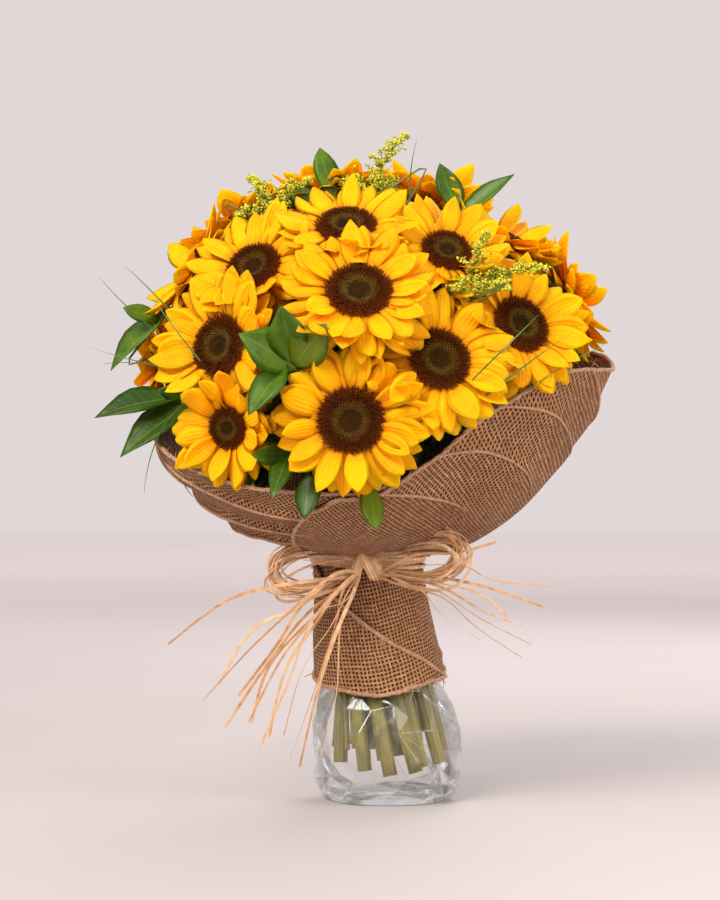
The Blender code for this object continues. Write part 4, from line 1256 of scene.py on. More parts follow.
def add_foliage():
    rng = np.random.default_rng(12)
    plan = Plan("foliage")
    for i in range(FILLER_LEAVES):
        climb = math.degrees(math.asin(LOWEST + SPAN * ((i + 0.5) / FILLER_LEAVES)))
        out = heading(i * GOLDEN_DEGREES, climb)
        behind = smooth(-0.3, 0.5, out.y)
        deep = 0.040 if i % 6 == 0 else 0.0
        base = DOME + out * (rng.uniform(0.074, 0.098) + 0.026 * behind - deep)
        side = out.cross(Vector((0.2, 0.1, 1))).normalized()
        swing = rng.uniform(0, 2 * math.pi)
        way = (out * 0.75 + towards(side, side.cross(out), swing) * 0.62).normalized()
        length = rng.uniform(0.040, 0.056)
        if blocked(WRAP_SOLID, base, way, length) or WRAP_SOLID.find_nearest(base + way * length, 0.010)[0]:
            continue
        plant_leaf(plan, rng, base, way, length, rng.uniform(0.017, 0.025), rng.uniform(-60, 60),
                   rng.uniform(0, 14))
    print("leaves that fit:", len(plan.rows), "of", FILLER_LEAVES)
    return belongs(plan.grown(leaf_shapes, LEAF, 0.1, 8), "leaf")


add_foliage()

# %% [markdown]
# ## Goldenrod
# Goldenrod is a plume of short twigs that stand along one side of an arching stem, and every twig is
# crowded with tiny yellow tufts. The tufts are the florets from the seed head, planted loosely.

# %% A plume of goldenrod
PLUME_STEPS, TUFTS = 13, 10
TWIG_REACH, TUFT_SIZE, LOOSE = 0.0125, 0.0019, 0.0009


def plant_tufts(plan, rng, root, out, reach):
    for tuft in range(TUFTS):
        share = (tuft + 1) / TUFTS
        place = root + out * reach * share + Vector(rng.normal(0, LOOSE, 3))
        over = Vector(rng.normal(0, 1, 3)).normalized()
        side = over.orthogonal().normalized()
        size = TUFT_SIZE * rng.uniform(0.7, 1.25)
        plan.plant(place, side, over.cross(side), over, (size,) * 3, int(rng.integers(1, 4)), 0.0,
                   rng.uniform(0, 1))


def plume_lines(plan, rng, root, bearing, climb, length):
    """The lines of a plume's twigs and of its axis. Their tufts go into the plan."""
    lines, axis, spot = [], [], root
    for i in range(PLUME_STEPS):
        axis.append((spot, 0.0010 * (1 - i / 16)))
        way = heading(bearing, climb - 4.0 * i)
        for _ in range(3 if i > 1 else 0):
            reach = TWIG_REACH * math.sin(math.pi * min(1, (i + 1) / PLUME_STEPS)) * rng.uniform(0.7, 1.3)
            out = (heading(rng.uniform(0, 360), rng.uniform(-10, 70)) + way * 0.5).normalized()
            lines.append([(spot, 0.0005), (spot + out * reach * 0.9, 0.0003)])
            plant_tufts(plan, rng, spot, out, reach)
        spot = spot + way * length / (PLUME_STEPS - 1)
    return lines + [axis]


print("a plume has", 3 * (PLUME_STEPS - 2) * TUFTS, "tufts")

# %% [markdown]
# ## Three stems of goldenrod
# Each stem ends where its solid ends, and its plumes start there, each with its own bearing, climb and
# length. Of the florets' shapes the closed bud is left out, because the tufts are open.

# %% Goldenrod
RODS = {"top": (-80, 74, .146, [(0, 86, .058), (60, 46, .034), (170, 50, .030)]),
        "right": (-56, 22, .150, [(-56, 86, .058), (-30, 38, .036), (-16, 62, .036), (-120, 44, .026),
                                  (0, 46, .066)]),
        "left": (-150, 55, .146, [(0, 74, .048), (150, 82, .046), (-170, 40, .030)])}
ROD_GIRTH, PLUMES_START = 0.0021, 0.006


def add_goldenrod(name):
    bearing, climb, reach, plumes = RODS[name]
    rng = np.random.default_rng(310 + len(name))
    end = DOME + heading(bearing, climb) * reach
    rings = thin_rings("goldenrod_" + name, end, ROD_GIRTH, PLUMES_START)
    lines = [[(spot, 0.6 * girth) for spot, girth in along_rings(rings + [(end, 0.0016)])]]
    plan = Plan(f"goldenrod_{name}_tufts")
    for plume in plumes:
        lines += plume_lines(plan, rng, end, *plume)
    belongs(swept_piece(f"goldenrod_{name}_stem", lines, ribbed_stalk, STEM, 1.0, 0.02), "goldenrod",
            "goldenrod_" + name)
    return belongs(plan.grown(florets, ROD_BLOOM, 0.4, 2), "goldenrod")


for name in RODS:
    tufts = add_goldenrod(name)
print("goldenrod: the last has", len(tufts.data.polygons), "faces")

# %% [markdown]
# ## Bear grass
# Thin, stiff blades arch out on both sides. Each is a flat strand that narrows to its tip, and its line
# is drawn by three points: where it comes out of the bunch, the point it bows towards, and its tip.

# %% Grass
BLADES = [
    ((-.140, -.060, .345), (-.190, -.070, .372), (-.2234, -.075, .412)),
    ((-.138, -.062, .352), (-.178, -.072, .398), (-.2039, -.080, .421)),
    ((-.145, -.066, .338), (-.198, -.080, .346), (-.2320, -.084, .359)),
    ((-.142, -.070, .332), (-.186, -.090, .350), (-.2195, -.092, .345)),
    ((-.148, -.080, .318), (-.182, -.100, .304), (-.1870, -.104, .246)),
    ((-.120, -.100, .372), (-.078, -.172, .368), (-.046, -.186, .350)),
    ((-.135, -.098, .350), (-.098, -.170, .356), (-.060, -.182, .372)),
    ((-.125, -.105, .326), (-.150, -.130, .352), (-.178, -.110, .392)),
    ((.060, -.150, .330), (.086, -.172, .356), (.111, -.150, .380)),
    ((.070, -.148, .318), (.112, -.150, .352), (.138, -.118, .367)),
    ((.085, -.130, .312), (.130, -.120, .344), (.166, -.085, .360)),
    ((.020, -.050, .440), (.012, -.060, .490), (.022, -.070, .520)),
    ((.120, .080, .350), (.150, .110, .392), (.172, .130, .398)),
    ((-.060, .130, .360), (-.080, .165, .410), (-.100, .185, .430))]
GRASS_WIDTH, GRASS_THICKNESS, GRASS_STEPS = 0.0017, 0.00035, 24


def add_grass():
    lines = []
    for number, (root, bow, tip) in enumerate(BLADES):
        root, bow, tip = Vector(root), Vector(bow), Vector(tip)
        line = []
        for i in range(GRASS_STEPS + 1):
            t = i / GRASS_STEPS
            spot = root * (1 - t) ** 2 + bow * 2 * t * (1 - t) + tip * t * t
            line.append((spot, 1.05 - 0.9 * t ** 1.5, 0.9 * number + 1.2 * t))
        lines.append(line)
    return belongs(swept_piece("grass_blades", lines, flat_strand, GRASS, GRASS_WIDTH, GRASS_THICKNESS),
                   "grass", "bear_grass")


add_grass()
print("grass:", len(BLADES), "blades")

# %% [markdown]
# ## Burlap
# Burlap is jute: round, uneven threads, woven openly. Its finish counts threads on the *flat* cloth
# in metres, so they stay the same width from the tie to the rim. Clouds of a browner tone age it, and
# the foot of each fold is darkened, because light doesn't reach into it.

# %% Burlap finish
THREAD_PITCH, THREAD_WIDTH, FIBRES = 0.0029, 0.48, 900
JUTE = ((0.12, (0.170, 0.064, 0.022)), (0.48, (0.37, 0.172, 0.074)), (0.90, (0.68, 0.400, 0.215)))
JUTE_AGED, JUTE_HOLE_PAINTED_SHADE = (0.25, 0.105, 0.042, 1), (0.070, 0.023, 0.007, 1)
JUTE_FOLD = (0.085, 0.032, 0.012, 1)


def burlap_finish():
    made, w, shader = finish_called("burlap", Roughness=0.86, Sheen_Weight=0.05, Sheen_Roughness=0.5,
                                    Specular_IOR_Level=0.15)
    flat = w.node("ShaderNodeUVMap", uv_map="cloth").outputs[0]
    threads = w.vector("MULTIPLY", flat, (1 / THREAD_PITCH, 1 / THREAD_PITCH, 0))
    weave = w.node("ShaderNodeGroup", {"Threads": threads, "Thread Width": THREAD_WIDTH},
                   node_tree=open_weave)
    fibre = w.noise(w.vector("MULTIPLY", flat, (FIBRES, FIBRES, 0)), 1.0, 3.0)
    # the thread colour is the slub's own tone with painted shade across each round thread
    thread = w.ramp(w.plus(w.times(weave.outputs["Tone"], 0.9), w.times(fibre, 0.3)), *JUTE)
    cloud = w.noise(w.place(), 14.0, 2.0)
    aged = w.blend(w.spread(cloud, 0.40, 0.75, 0.0, 0.35), thread, JUTE_AGED)
    # painted shade: the holes between threads are painted dark, for the shaded space behind the cloth
    cloth = w.blend(weave.outputs["Thread"], JUTE_HOLE_PAINTED_SHADE, aged)
    w.colour(shader, w.blend(w.times(w.carried("fold"), 0.60), cloth, JUTE_FOLD))
    w.bump(shader, w.plus(weave.outputs["Height"], w.times(fibre, 0.25)), 0.9, 0.0012)
    return made


BURLAP = burlap_finish()
print("finish:", BURLAP.name, "with", round(1 / THREAD_PITCH / 100, 1), "threads a centimetre")

# %% [markdown]
# ## The collar's rim
# Seen from above, the rim is a loose ring, wide where the cloth stands open and close where it is
# pulled in. A table gives its distance and height at a dozen bearings, and a smooth curve joins them.

# %% Collar rim
# bearing, distance of the rim from the tie's axis, height of the rim
COLLAR_RIM = [(-180, .172, .298), (-150, .168, .268), (-120, .150, .249), (-90, .136, .246),
              (-68, .138, .278), (-50, .153, .313), (-30, .178, .342), (-4, .192, .344), (18, .191, .361),
              (40, .187, .356), (62, .182, .340), (90, .180, .330), (120, .180, .324), (150, .176, .312),
              (180, .172, .298)]


def through(t, a, b, c, d):
    """The smooth curve that passes b at 0 and c at 1, with a and d as its next points."""
    return b + 0.5 * t * (c - a + t * (2 * a - 5 * b + 4 * c - d + t * (3 * (b - c) + d - a)))


def rim_at(bearing):
    """The rim's distance and height at a bearing."""
    bearing = (bearing + 180) % 360 - 180
    known = COLLAR_RIM[:-1]
    i = max(k for k, row in enumerate(known) if row[0] <= bearing)
    t = (bearing - COLLAR_RIM[i][0]) / (COLLAR_RIM[i + 1][0] - COLLAR_RIM[i][0])
    near = [known[(i + k) % len(known)] for k in (-1, 0, 1, 2)]
    return tuple(through(t, *(row[column] for row in near)) for column in (1, 2))


print("rim in front:", [round(x, 3) for x in rim_at(-90)])

# %% [markdown]
# ## Tucks
# A cloth that is wrapped round lies in long slanting tucks. Each tuck is a ridge with one steep and one
# soft side, so it is given by the line of its crest, its height and its width. The crease at the foot
# of its steep side is where the cloth drops most within a short step.

# %% Tucks
# from (bearing, share of the way to the rim) to the same, height and width
TUCKS_RIGHT = [(-50, 1.0, -8, .76, .0050, .010), (-68, 1.0, -18, .60, .0050, .011),
               (-86, 1.0, -46, .56, .0040, .009),
               (-22, 1.0, 22, .72, .0042, .011), (12, 1.0, 52, .70, .0042, .012),
               (44, 1.0, 84, .70, .0040, .012), (78, 1.0, 116, .72, .0040, .011),
               (112, 1.0, 150, .70, .0040, .012), (146, 1.0, 184, .72, .0036, .012)]
TUCKS_LEFT = [(-176, .96, -100, .78, .0046, .009), (-184, .74, -100, .60, .0048, .009),
              (-178, .52, -104, .42, .0036, .008), (-196, 1.0, -150, .86, .0040, .009),
              (-230, 1.0, -180, .66, .0040, .011), (-262, 1.0, -212, .66, .0040, .011)]
PER_DEGREE, PER_SHARE = .0022, .16   # metres of cloth for a degree round and for the way to the rim
STEEP = 0.35                         # the steep side's width as a share of the soft one's


def tuck_lift(tucks, bearing, t):
    """How far the tucks raise the cloth there: a steep side, a soft side and a rounded crest."""
    lift = 0.0
    for b0, t0, b1, t1, height, width in tucks:
        dx, dy = (b1 - b0) * PER_DEGREE, (t1 - t0) * PER_SHARE
        px, py = (bearing - b0) * PER_DEGREE, (t - t0) * PER_SHARE
        span = math.hypot(dx, dy)
        s = (px * dx + py * dy) / (span * span)
        off = (px * dy - py * dx) / span
        ends = smooth(-0.20, 0.30, s) * (1 - smooth(0.75, 1.35, s))
        lift += height * ends * math.exp(-(off / (width if off > 0 else width * STEEP)) ** 2)
    return lift


def fold_at(tucks, bearing, t):
    """1 in the crease at the foot of a tuck's steep side, falling to 0 away from it."""
    drop = tuck_lift(tucks, bearing, t) - tuck_lift(tucks, bearing + 1.6, t - .035)
    return smooth(0.0006, 0.0042, drop)


print("tucks:", len(TUCKS_RIGHT), "at the right and", len(TUCKS_LEFT), "at the left")

# %% [markdown]
# ## A point of the collar
# The cloth starts at the neck, rises steeply and then leans out to the rim, like the mouth of a
# trumpet. The tucks, the gathers at the tie and a slight unevenness are added outwards from that, at
# right angles to its slope.

# %% A point of the collar
NECK_RADIUS, NECK_HEIGHT = .0437, .1998


def collar_spot(bearing, t, tucks, over, seed):
    """A point of the collar's cloth. over is how far the cloth lies outside the stems' side of it."""
    distance, height = rim_at(bearing)
    a = math.radians(bearing)
    radius = mix(NECK_RADIUS, distance, t) + .0005
    wave = .0010 * math.sin(7 * a + 1.5 * t) * t
    z = NECK_HEIGHT + (height - NECK_HEIGHT) * (.12 * t + .88 * t ** 2.4) + wave
    rough = noise.noise(Vector((bearing * .035, t * 4.0, seed))) * .0022 * t
    gather = .0016 * math.sin(bearing * 0.42 + 3 * t) * (1 - t) ** 2
    out = over + tuck_lift(tucks, bearing, t) + rough + gather
    slope = math.atan2((height - NECK_HEIGHT) * (.12 + 2.1 * t ** 1.4), distance - NECK_RADIUS)
    radius += out * math.sin(slope) * 0.7
    z -= out * math.cos(slope)
    return Vector((TIE.x + radius * math.cos(a), TIE.y + radius * math.sin(a), z))


print("rim's front point:", [round(x, 3) for x in collar_spot(-90, 1.0, TUCKS_RIGHT, 0.0, 0.0)])

# %% [markdown]
# ## Cloth
# A cloth is one surface through rows of points. It also keeps where each point lay on the flat piece,
# as its UV map, and the weave is drawn from that.

# %% Cloth
def cloth_piece(name, rows, flats, finish):
    """A single surface through rows of points, with its places on the flat cloth as its UV map."""
    count, wide = len(rows), len(rows[0])
    faces = [(i * wide + j, i * wide + j + 1, (i + 1) * wide + j + 1, (i + 1) * wide + j)
             for i in range(count - 1) for j in range(wide - 1)]
    mesh = mesh_of(name, [spot for row in rows for spot in row], (), faces)
    layer = mesh.uv_layers.new(name="cloth")
    for loop in mesh.loops:
        i, j = divmod(loop.vertex_index, wide)
        layer.data[loop.index].uv = flats[i][j]
    mesh.materials.append(finish)
    mesh.shade_smooth()
    print(name, "covers", round(sum(p.area for p in mesh.polygons), 4), "square metres")
    return in_scene(name, mesh)


print("a thread every", THREAD_PITCH, "m of cloth")

# %% [markdown]
# ## The collar
# Two cloths are wrapped round the bunch from both sides and cross in front, the right one over the
# left. A cone laid flat is a sector, so each point's flat place is its distance from the cone's tip
# and its bearing, shrunk by the cone. That makes the threads run slantwise, as they do when a square
# is wrapped.

# %% Collar
COLLAR_DOWN, COLLAR_ACROSS = 64, 250
CONE = 0.70   # the share of a full turn that the cone takes when it is laid flat
# the tucks of each cloth, how far out it lies, and the seed of its unevenness
LEFT_CLOTH, RIGHT_CLOTH = (TUCKS_LEFT, -.0008, 3.0), (TUCKS_RIGHT, .0040, 7.0)


def add_collar(name, first, last, cloth, ragged, bias):
    """first and last give the bearings of the two side edges at a share of the way to the rim."""
    tucks, over, seed = cloth
    rows, flats, folds = [], [], []
    for i in range(COLLAR_DOWN + 1):
        share = i / COLLAR_DOWN
        row, flat = [], []
        for j in range(COLLAR_ACROSS + 1):
            edge = j / COLLAR_ACROSS
            bearing = mix(first(share), last(share), edge)
            top = 1 - 0.10 * (1 - smooth(0, 0.045, edge)) * ragged
            t = mix(ragged * (.03 + .21 * math.exp(-((bearing + 70) / 22) ** 2)), top, share)
            row.append(collar_spot(bearing, t, tucks, over, seed))
            folds.append(fold_at(tucks, bearing, t))
            slant = (NECK_RADIUS + (rim_at(bearing)[0] - NECK_RADIUS) * t) / CONE
            turn = math.radians(bearing + 105) * CONE + bias
            flat.append((slant * math.cos(turn), slant * math.sin(turn)))
        rows.append(row)
        flats.append(flat)
    made = cloth_piece(name, rows, flats, BURLAP)
    note_on(made.data, "fold", folds)
    return made, rows


left_collar, left_rows = add_collar(
    "collar_left", lambda t: -262 + 10 * t, lambda t: -92 + 8 * t, LEFT_CLOTH, 0.0, 0.43)
right_collar, right_rows = add_collar(
    "collar_right", lambda t: -132 + 24 * t ** 2, lambda t: 118 - 10 * t, RIGHT_CLOTH, 1.0, 0.35)
belongs(left_collar, "burlap", "burlap_collar")
belongs(right_collar, "burlap")

# %% [markdown]
# ## The wrap below the tie
# The stems lean, so the wraps below the tie follow an axis that runs from the middle of the foot to the
# tie. How far out each of them lies is a short table of heights and radii.

# %% Axis and profiles below the tie
FOOT_END, FOOT_TO_TIE = .03, .163   # the axis is upright up to here, and then leans over this height


def profile_at(profile, height):
    """The radius that a table of heights and radii gives for a height."""
    for (h0, r0), (h1, r1) in zip(profile, profile[1:]):
        if height <= h1:
            return mix(r0, r1, max(0.0, (height - h0) / (h1 - h0)))
    return profile[-1][1]


def axis_at(height):
    share = min(max((height - FOOT_END) / FOOT_TO_TIE, 0.0), 1.0)
    return Vector((TIE.x * share, TIE.y * share, 0))


print("axis at the hem:", [round(x, 4) for x in axis_at(.096)])

# %% [markdown]
# ## The skirt
# A second strip of the burlap is wound once round the stems and the neck of the bag. Its free edge
# comes down slantwise across the front, and the tie gathers its top into small pleats.

# %% Skirt
SKIRT_TOP, SKIRT_HEM = .1975, .0960
SKIRT_OUTSIDE = [(SKIRT_HEM, .0520), (.1120, .0500), (.1380, .0470), (.1620, .0440), (.1850, .0417),
                 (SKIRT_TOP, .0412)]
SKIRT_DOWN, SKIRT_ACROSS = 34, 200
SKIRT_GIRTH, SKIRT_LENGTH, SKIRT_SLANT = .0465, .1015, .12


def skirt_spot(bearing, t, s):
    """t is 0 at the tie and 1 at the hem; s is the share of the way round the wrap."""
    z = mix(SKIRT_TOP, SKIRT_HEM, t)
    a = math.radians(bearing)
    radius = profile_at(SKIRT_OUTSIDE, z) + .0034 * s - .0010
    radius += .0013 * math.sin(a * 21 + 2 * math.sin(3 * a)) * (1 - t) ** 1.6
    radius += .0022 * noise.noise(Vector((math.cos(a) * 2.2, math.sin(a) * 2.2, t * 2.6 + s))) * t
    radius += .0013 * math.exp(-((t - .42 - .0042 * ((bearing + 100 + 180) % 360 - 180)) / .035) ** 2)
    z -= (.008 * t * math.cos(a - math.radians(-100)) - .0010 * math.sin(5 * a) * t
          - .0060 * t * math.sin(a - math.radians(-104)) ** 2)
    return axis_at(z) + ring_spot(radius, a, z)


def add_skirt():
    rows, flats = [], []
    for i in range(SKIRT_DOWN + 1):
        t = i / SKIRT_DOWN
        row, flat = [], []
        for j in range(SKIRT_ACROSS + 1):
            s = j / SKIRT_ACROSS
            bearing = -181 + 162 * t - 392 * (1 - s)
            row.append(skirt_spot(bearing, t, s))
            u, v = math.radians(bearing) * SKIRT_GIRTH, t * SKIRT_LENGTH
            flat.append((u * math.cos(SKIRT_SLANT) - v * math.sin(SKIRT_SLANT),
                         u * math.sin(SKIRT_SLANT) + v * math.cos(SKIRT_SLANT)))
        rows.append(row)
        flats.append(flat)
    return cloth_piece("skirt_wrap", rows, flats, BURLAP), rows


skirt, skirt_rows = add_skirt()
belongs(skirt, "burlap", "burlap_skirt")

# %% [markdown]
# ## Hems and loose threads
# A cut edge of burlap is a rope of tangled threads, with single ones that stand out. So every edge is
# lined with two strands that wind round it, each tuck's crest with one, and short threads are scattered
# along the edges. All are swept lines, so they catch the light as real threads do.

# %% Lines of the hems
HEM_COLOURS = ((0.28, (0.25, 0.115, 0.048)), (0.52, (0.48, 0.265, 0.145)), (0.72, (0.66, 0.42, 0.26)))
LOOSE_THREADS, CREST_STEPS = 150, 40


def hem_finish():
    made, w, shader = finish_called("burlap_hem", Roughness=0.9)
    streak = w.noise(w.place(), 700.0, 3.0)
    w.colour(shader, w.ramp(streak, *HEM_COLOURS))
    w.bump(shader, streak, 0.8, 0.0008)
    return made


def wound_round(edge, offset):
    """A strand that winds round a cloth's edge."""
    line = []
    for k, spot in enumerate(edge):
        a = k * 0.9 + offset * 5
        line.append((spot + Vector((math.cos(a), math.sin(a), math.cos(a * 0.7))) * 0.0004,
                     0.00135 + 0.00022 * math.sin(k * 1.7)))
    return line


def crest_of(tuck, tucks, over, seed):
    """A strand that lies on a tuck's crest."""
    b0, t0, b1, t1 = tuck[:4]
    line = []
    for k in range(CREST_STEPS + 1):
        s = k / CREST_STEPS
        spot = collar_spot(mix(b0, b1, s), min(0.995, mix(t0, t1, s)), tucks, over + .0004, seed)
        line.append((spot, 0.0011 * math.sin(math.pi * min(1.0, 0.25 + s * 0.75)) + 0.0001))
    return line


def loose_thread(edge, down, rng):
    root = edge[int(rng.integers(2, len(edge) - 2))]
    out = Vector((root.x - TIE.x, root.y - TIE.y, 0)).normalized()
    drift = Vector(rng.normal(0, 1, 3)) * 0.0035
    rise = Vector((0, 0, -1 if down else 1)) * rng.uniform(0.001, 0.005)
    bend = root + out * 0.0008 + rise * 0.5 + drift * 0.4
    return [(root, 0.00035), (bend, 0.0003), (root + out * 0.0012 + rise + drift, 0.0002)]


HEM = hem_finish()
print("finish:", HEM.name)

# %% [markdown]
# ## All hems in one piece
# The edges are the last rows and the side columns of the cloths, so the hems lie exactly on them. The
# first three edges are the collar's and their loose threads stand up; the skirt's hang down.

# %% Hems
def add_hems():
    rng = np.random.default_rng(55)
    edges = [left_rows[-1], right_rows[-1], [row[0] for row in right_rows[8:]],
             skirt_rows[-1], [row[-1] for row in skirt_rows]]
    lines = [wound_round(edge, offset) for edge in edges for offset in (0.0, 0.6)]
    lines.append([(spot, 0.0012) for spot in right_rows[0]])
    for cloth in (RIGHT_CLOTH, LEFT_CLOTH):
        lines += [crest_of(tuck, *cloth) for tuck in cloth[0]]
    for number in range(LOOSE_THREADS):
        which = number % len(edges)
        lines.append(loose_thread(edges[which], which > 2, rng))
    return belongs(swept_piece("burlap_edges", lines, ribbed_stalk, HEM, 1.0, 0.10), "burlap")


hems = add_hems()
print("hems:", len(hems.data.polygons), "faces")

# %% [markdown]
# ## Raffia
# Raffia is split palm leaf: flat, dry strands a few millimetres wide that never lie quite together.
# The tie is several strands round the neck, a knot, two bunches of loops and the free ends. Each
# strand has its own sag and twist, because that is what makes raffia look dry.

# %% Raffia finish and strands
RAFFIA_COLOURS = ((0.22, (0.37, 0.18, 0.075)), (0.50, (0.70, 0.41, 0.205)), (0.82, (0.92, 0.67, 0.41)))
STRAND_WIDTH, STRAND_THICKNESS = 0.0030, 0.00045
FULL_TURN = 6.28


def raffia_finish():
    made, w, shader = finish_called("raffia", Roughness=0.62, Specular_IOR_Level=0.35)
    streak = w.noise(w.vector("MULTIPLY", w.place(), (0.5, 1.0, 0.5)), 260.0, 3.0, 0.6)
    share = w.plus(w.times(streak, 0.75), w.times(w.carried("tone"), 0.35))
    w.colour(shader, w.ramp(share, *RAFFIA_COLOURS))
    w.bump(shader, streak, 0.5, 0.0006)
    return made


def curve_through(points, count):
    """Evenly numbered points of a smooth line through the given ones."""
    rings = [(Vector(p), 0.0) for p in points]
    parts = max(1, math.ceil(count / (len(rings) - 1)))
    return [spot for spot, _ in along_rings(rings, parts)]


def strand(points, rng, girth, thin, twist, count):
    """A line of (point, girth, tilt) that narrows to its end and turns over slowly."""
    spots = curve_through(points, count)
    start, turn = rng.uniform(0, FULL_TURN), rng.uniform(-2.6, 2.6) * twist
    return [(spot, girth * (1 - thin * (i / len(spots)) ** 2), start + turn * i / len(spots))
            for i, spot in enumerate(spots)]


RAFFIA = raffia_finish()
print("finish:", RAFFIA.name)

# %% [markdown]
# ## Free ends
# Dry raffia is stiff: the ends leave the knot sideways, rise a little and then droop to their tips.
# A smooth curve goes from the knot to each tip through three points that wander a little, and the
# length of each end's line is measured.

# %% Free ends
# tips of the free ends; the solids' own three come first
SOLID_ENDS = ("raffia_tails_left", "raffia_tails_low", "raffia_tails_right")
TIPS = [(-.1065, -.0709, .0680), (-.0765, -.0729, .0400), (.1115, -.0609, .1400),
        (-.1703, -.082, .1295), (-.1440, -.076, .0854), (-.1262, -.078, .0652),
        (-.1169, -.064, .0880), (-.0999, -.080, .0490), (-.0929, -.066, .0560),
        (-.0689, -.082, .0350), (-.0526, -.086, .0436), (.0829, -.072, .2077),
        (.1248, -.076, .1744), (.1209, -.060, .1566), (.1100, -.076, .1287),
        (.1031, -.064, .1179), (.0700, -.078, .1330), (-.1330, -.060, .0960),
        (-.0810, -.090, .0600), (.0920, -.084, .1500), (-.1080, -.090, .0700)]
# share of the way to the tip, and how far the end has risen there, as a share of its length
RISES = ((.18, .055), (.42, .115), (.70, .090))
WANDER, BULGE = .0035, 0.016


def add_free_end(number):
    rng = np.random.default_rng(800 + number)
    tip = Vector(TIPS[number])
    away = tip - KNOT
    side = 1 if away.x > 0 else -1
    root = KNOT + Vector((side * .0062, -.0030 - .0004 * (number % 5), -.0060 - .0012 * (number % 4)))
    points = [root]
    for t, rise in RISES:
        sway = Vector((rng.normal(0, WANDER), rng.normal(0, WANDER), rng.normal(0, WANDER)))
        lift = UP * away.length * rise * (0.9 if side < 0 else 0.55)
        bulge = Vector((0, -BULGE * math.sin(math.pi * t), 0))
        points.append(root + (tip - root) * t + lift + bulge + sway)
    points.append(tip)
    line = strand(points, rng, rng.uniform(0.85, 1.12), 0.40, 0.7, 28)
    piece = swept_piece(f"raffia_end_{number + 1:02d}", [line], flat_strand, RAFFIA,
                        STRAND_WIDTH, STRAND_THICKNESS)
    belongs(piece, "raffia", *SOLID_ENDS[number:number + 1])
    path = [row[0] for row in line]
    length = sum((b - a).length for a, b in zip(path, path[1:]))
    return length


lengths = [add_free_end(number) for number in range(len(TIPS))]
print("free ends:", len(lengths), "from", round(min(lengths), 3), "to", round(max(lengths), 3), "m")

# %% [markdown]
# ## Windings
# Nine strands go round the neck, each with its own height, lean and slight waviness. They lie flat
# against the neck, so all are tilted by a quarter of a turn.

# %% Windings
bow_chance = np.random.default_rng(64)
WINDINGS, WINDING_STEPS = 9, 72
BAND_TILT = math.pi / 2


def add_windings(rng):
    lines = []
    for number in range(WINDINGS):
        rise = mix(-.0042, .0030, number / (WINDINGS - 1)) + rng.normal(0, .0008)
        out = .0447 + rng.uniform(0, .0020)
        lean, phase = rng.normal(0, .0014), rng.uniform(0, FULL_TURN)
        line = []
        for i in range(WINDING_STEPS + 1):
            a = math.radians(-95) + 2 * math.pi * i / WINDING_STEPS
            wave = lean * math.sin(a + phase) + .0004 * math.sin(5 * a + phase)
            line.append((TIE + ring_spot(out, a, rise + wave), 1.1,
                         BAND_TILT + 0.25 * math.sin(2 * a + phase)))
        lines.append(line)
    return belongs(swept_piece("raffia_windings", lines, flat_strand, RAFFIA, STRAND_WIDTH * 0.75,
                               STRAND_THICKNESS), "raffia", "raffia_band")


windings = add_windings(bow_chance)
print("windings:", len(windings.data.polygons), "faces")

# %% [markdown]
# ## Loops
# A loop is a long drop shape: out from the knot and back, wider in the middle. It is drawn eighteen
# times a side, with a different reach, width, sag and push each time.

# %% Loops
# side, reach, drop, how far forward, and how many
LOOPS = ((-1, .078, -.007, .012, 18), (1, .078, .009, .026, 18))
LOOP_STEPS, LOOP_POINTS, LOOP_ROOT = 16, 60, .006


def loop_points(side, reach, drop, forth, rng):
    grow, wide = rng.uniform(0.84, 1.04), rng.uniform(0.55, 1.15)
    sag, push = rng.normal(0, .004), rng.normal(0, .0045)
    points = []
    for i in range(LOOP_STEPS + 1):
        t = i / LOOP_STEPS
        a = 2 * math.pi * t
        out = (1 - math.cos(a)) / 2
        opening = math.sin(a) * .0215 * wide * math.sqrt(math.sin(math.pi * t) + 1e-9)
        points.append(KNOT + Vector((
            side * (LOOP_ROOT + (reach - LOOP_ROOT) * grow * out ** 0.9), -.004 - forth * out + push * out,
            (drop + sag) * out + opening + .0018 * math.cos(a) * (1 - out))))
    return points


def add_loops(rng):
    lines = []
    for side, reach, drop, forth, count in LOOPS:
        for _ in range(count):
            spots = curve_through(loop_points(side, reach, drop, forth, rng), LOOP_POINTS)
            start, turn = rng.uniform(0, FULL_TURN), rng.uniform(-1.5, 1.5)
            lines.append([(spot, rng.uniform(0.92, 1.0), start + turn * i / LOOP_POINTS)
                          for i, spot in enumerate(spots)])
    return belongs(swept_piece("raffia_loops", lines, flat_strand, RAFFIA, STRAND_WIDTH * 0.8,
                               STRAND_THICKNESS), "raffia", "raffia_bow")


loops = add_loops(bow_chance)
print("loops:", len(loops.data.polygons), "faces")

# %% [markdown]
# ## The knot
# The knot is the same strands wound the other way, over the place where the loops meet. The strands in
# its middle stand out furthest, so that it is round like a small barrel.

# %% Knot
KNOT_STRANDS, KNOT_STEPS = 9, 32
KNOT_HALF, KNOT_ROUND = .0096, .0126


def add_knot(rng):
    lines = []
    for number in range(KNOT_STRANDS):
        across = mix(-KNOT_HALF, KNOT_HALF, number / (KNOT_STRANDS - 1))
        bulge = math.sqrt(1 - (across / KNOT_ROUND) ** 2)
        lean = -.0060 if number > 2 else .0030
        line = []
        for i in range(KNOT_STEPS + 1):
            a = 2 * math.pi * i / KNOT_STEPS + math.pi / 2
            spot = KNOT + Vector((across + lean * math.sin(a), .0076 * bulge * math.cos(a) - .0030,
                                  .0122 * bulge * math.sin(a)))
            line.append((spot, 1.05, rng.normal(0, 0.12)))
        lines.append(line)
    return belongs(swept_piece("raffia_knot", lines, flat_strand, RAFFIA, STRAND_WIDTH * 1.15, 0.0009),
                   "raffia")


knot = add_knot(bow_chance)
print("knot:", len(knot.data.polygons), "faces")

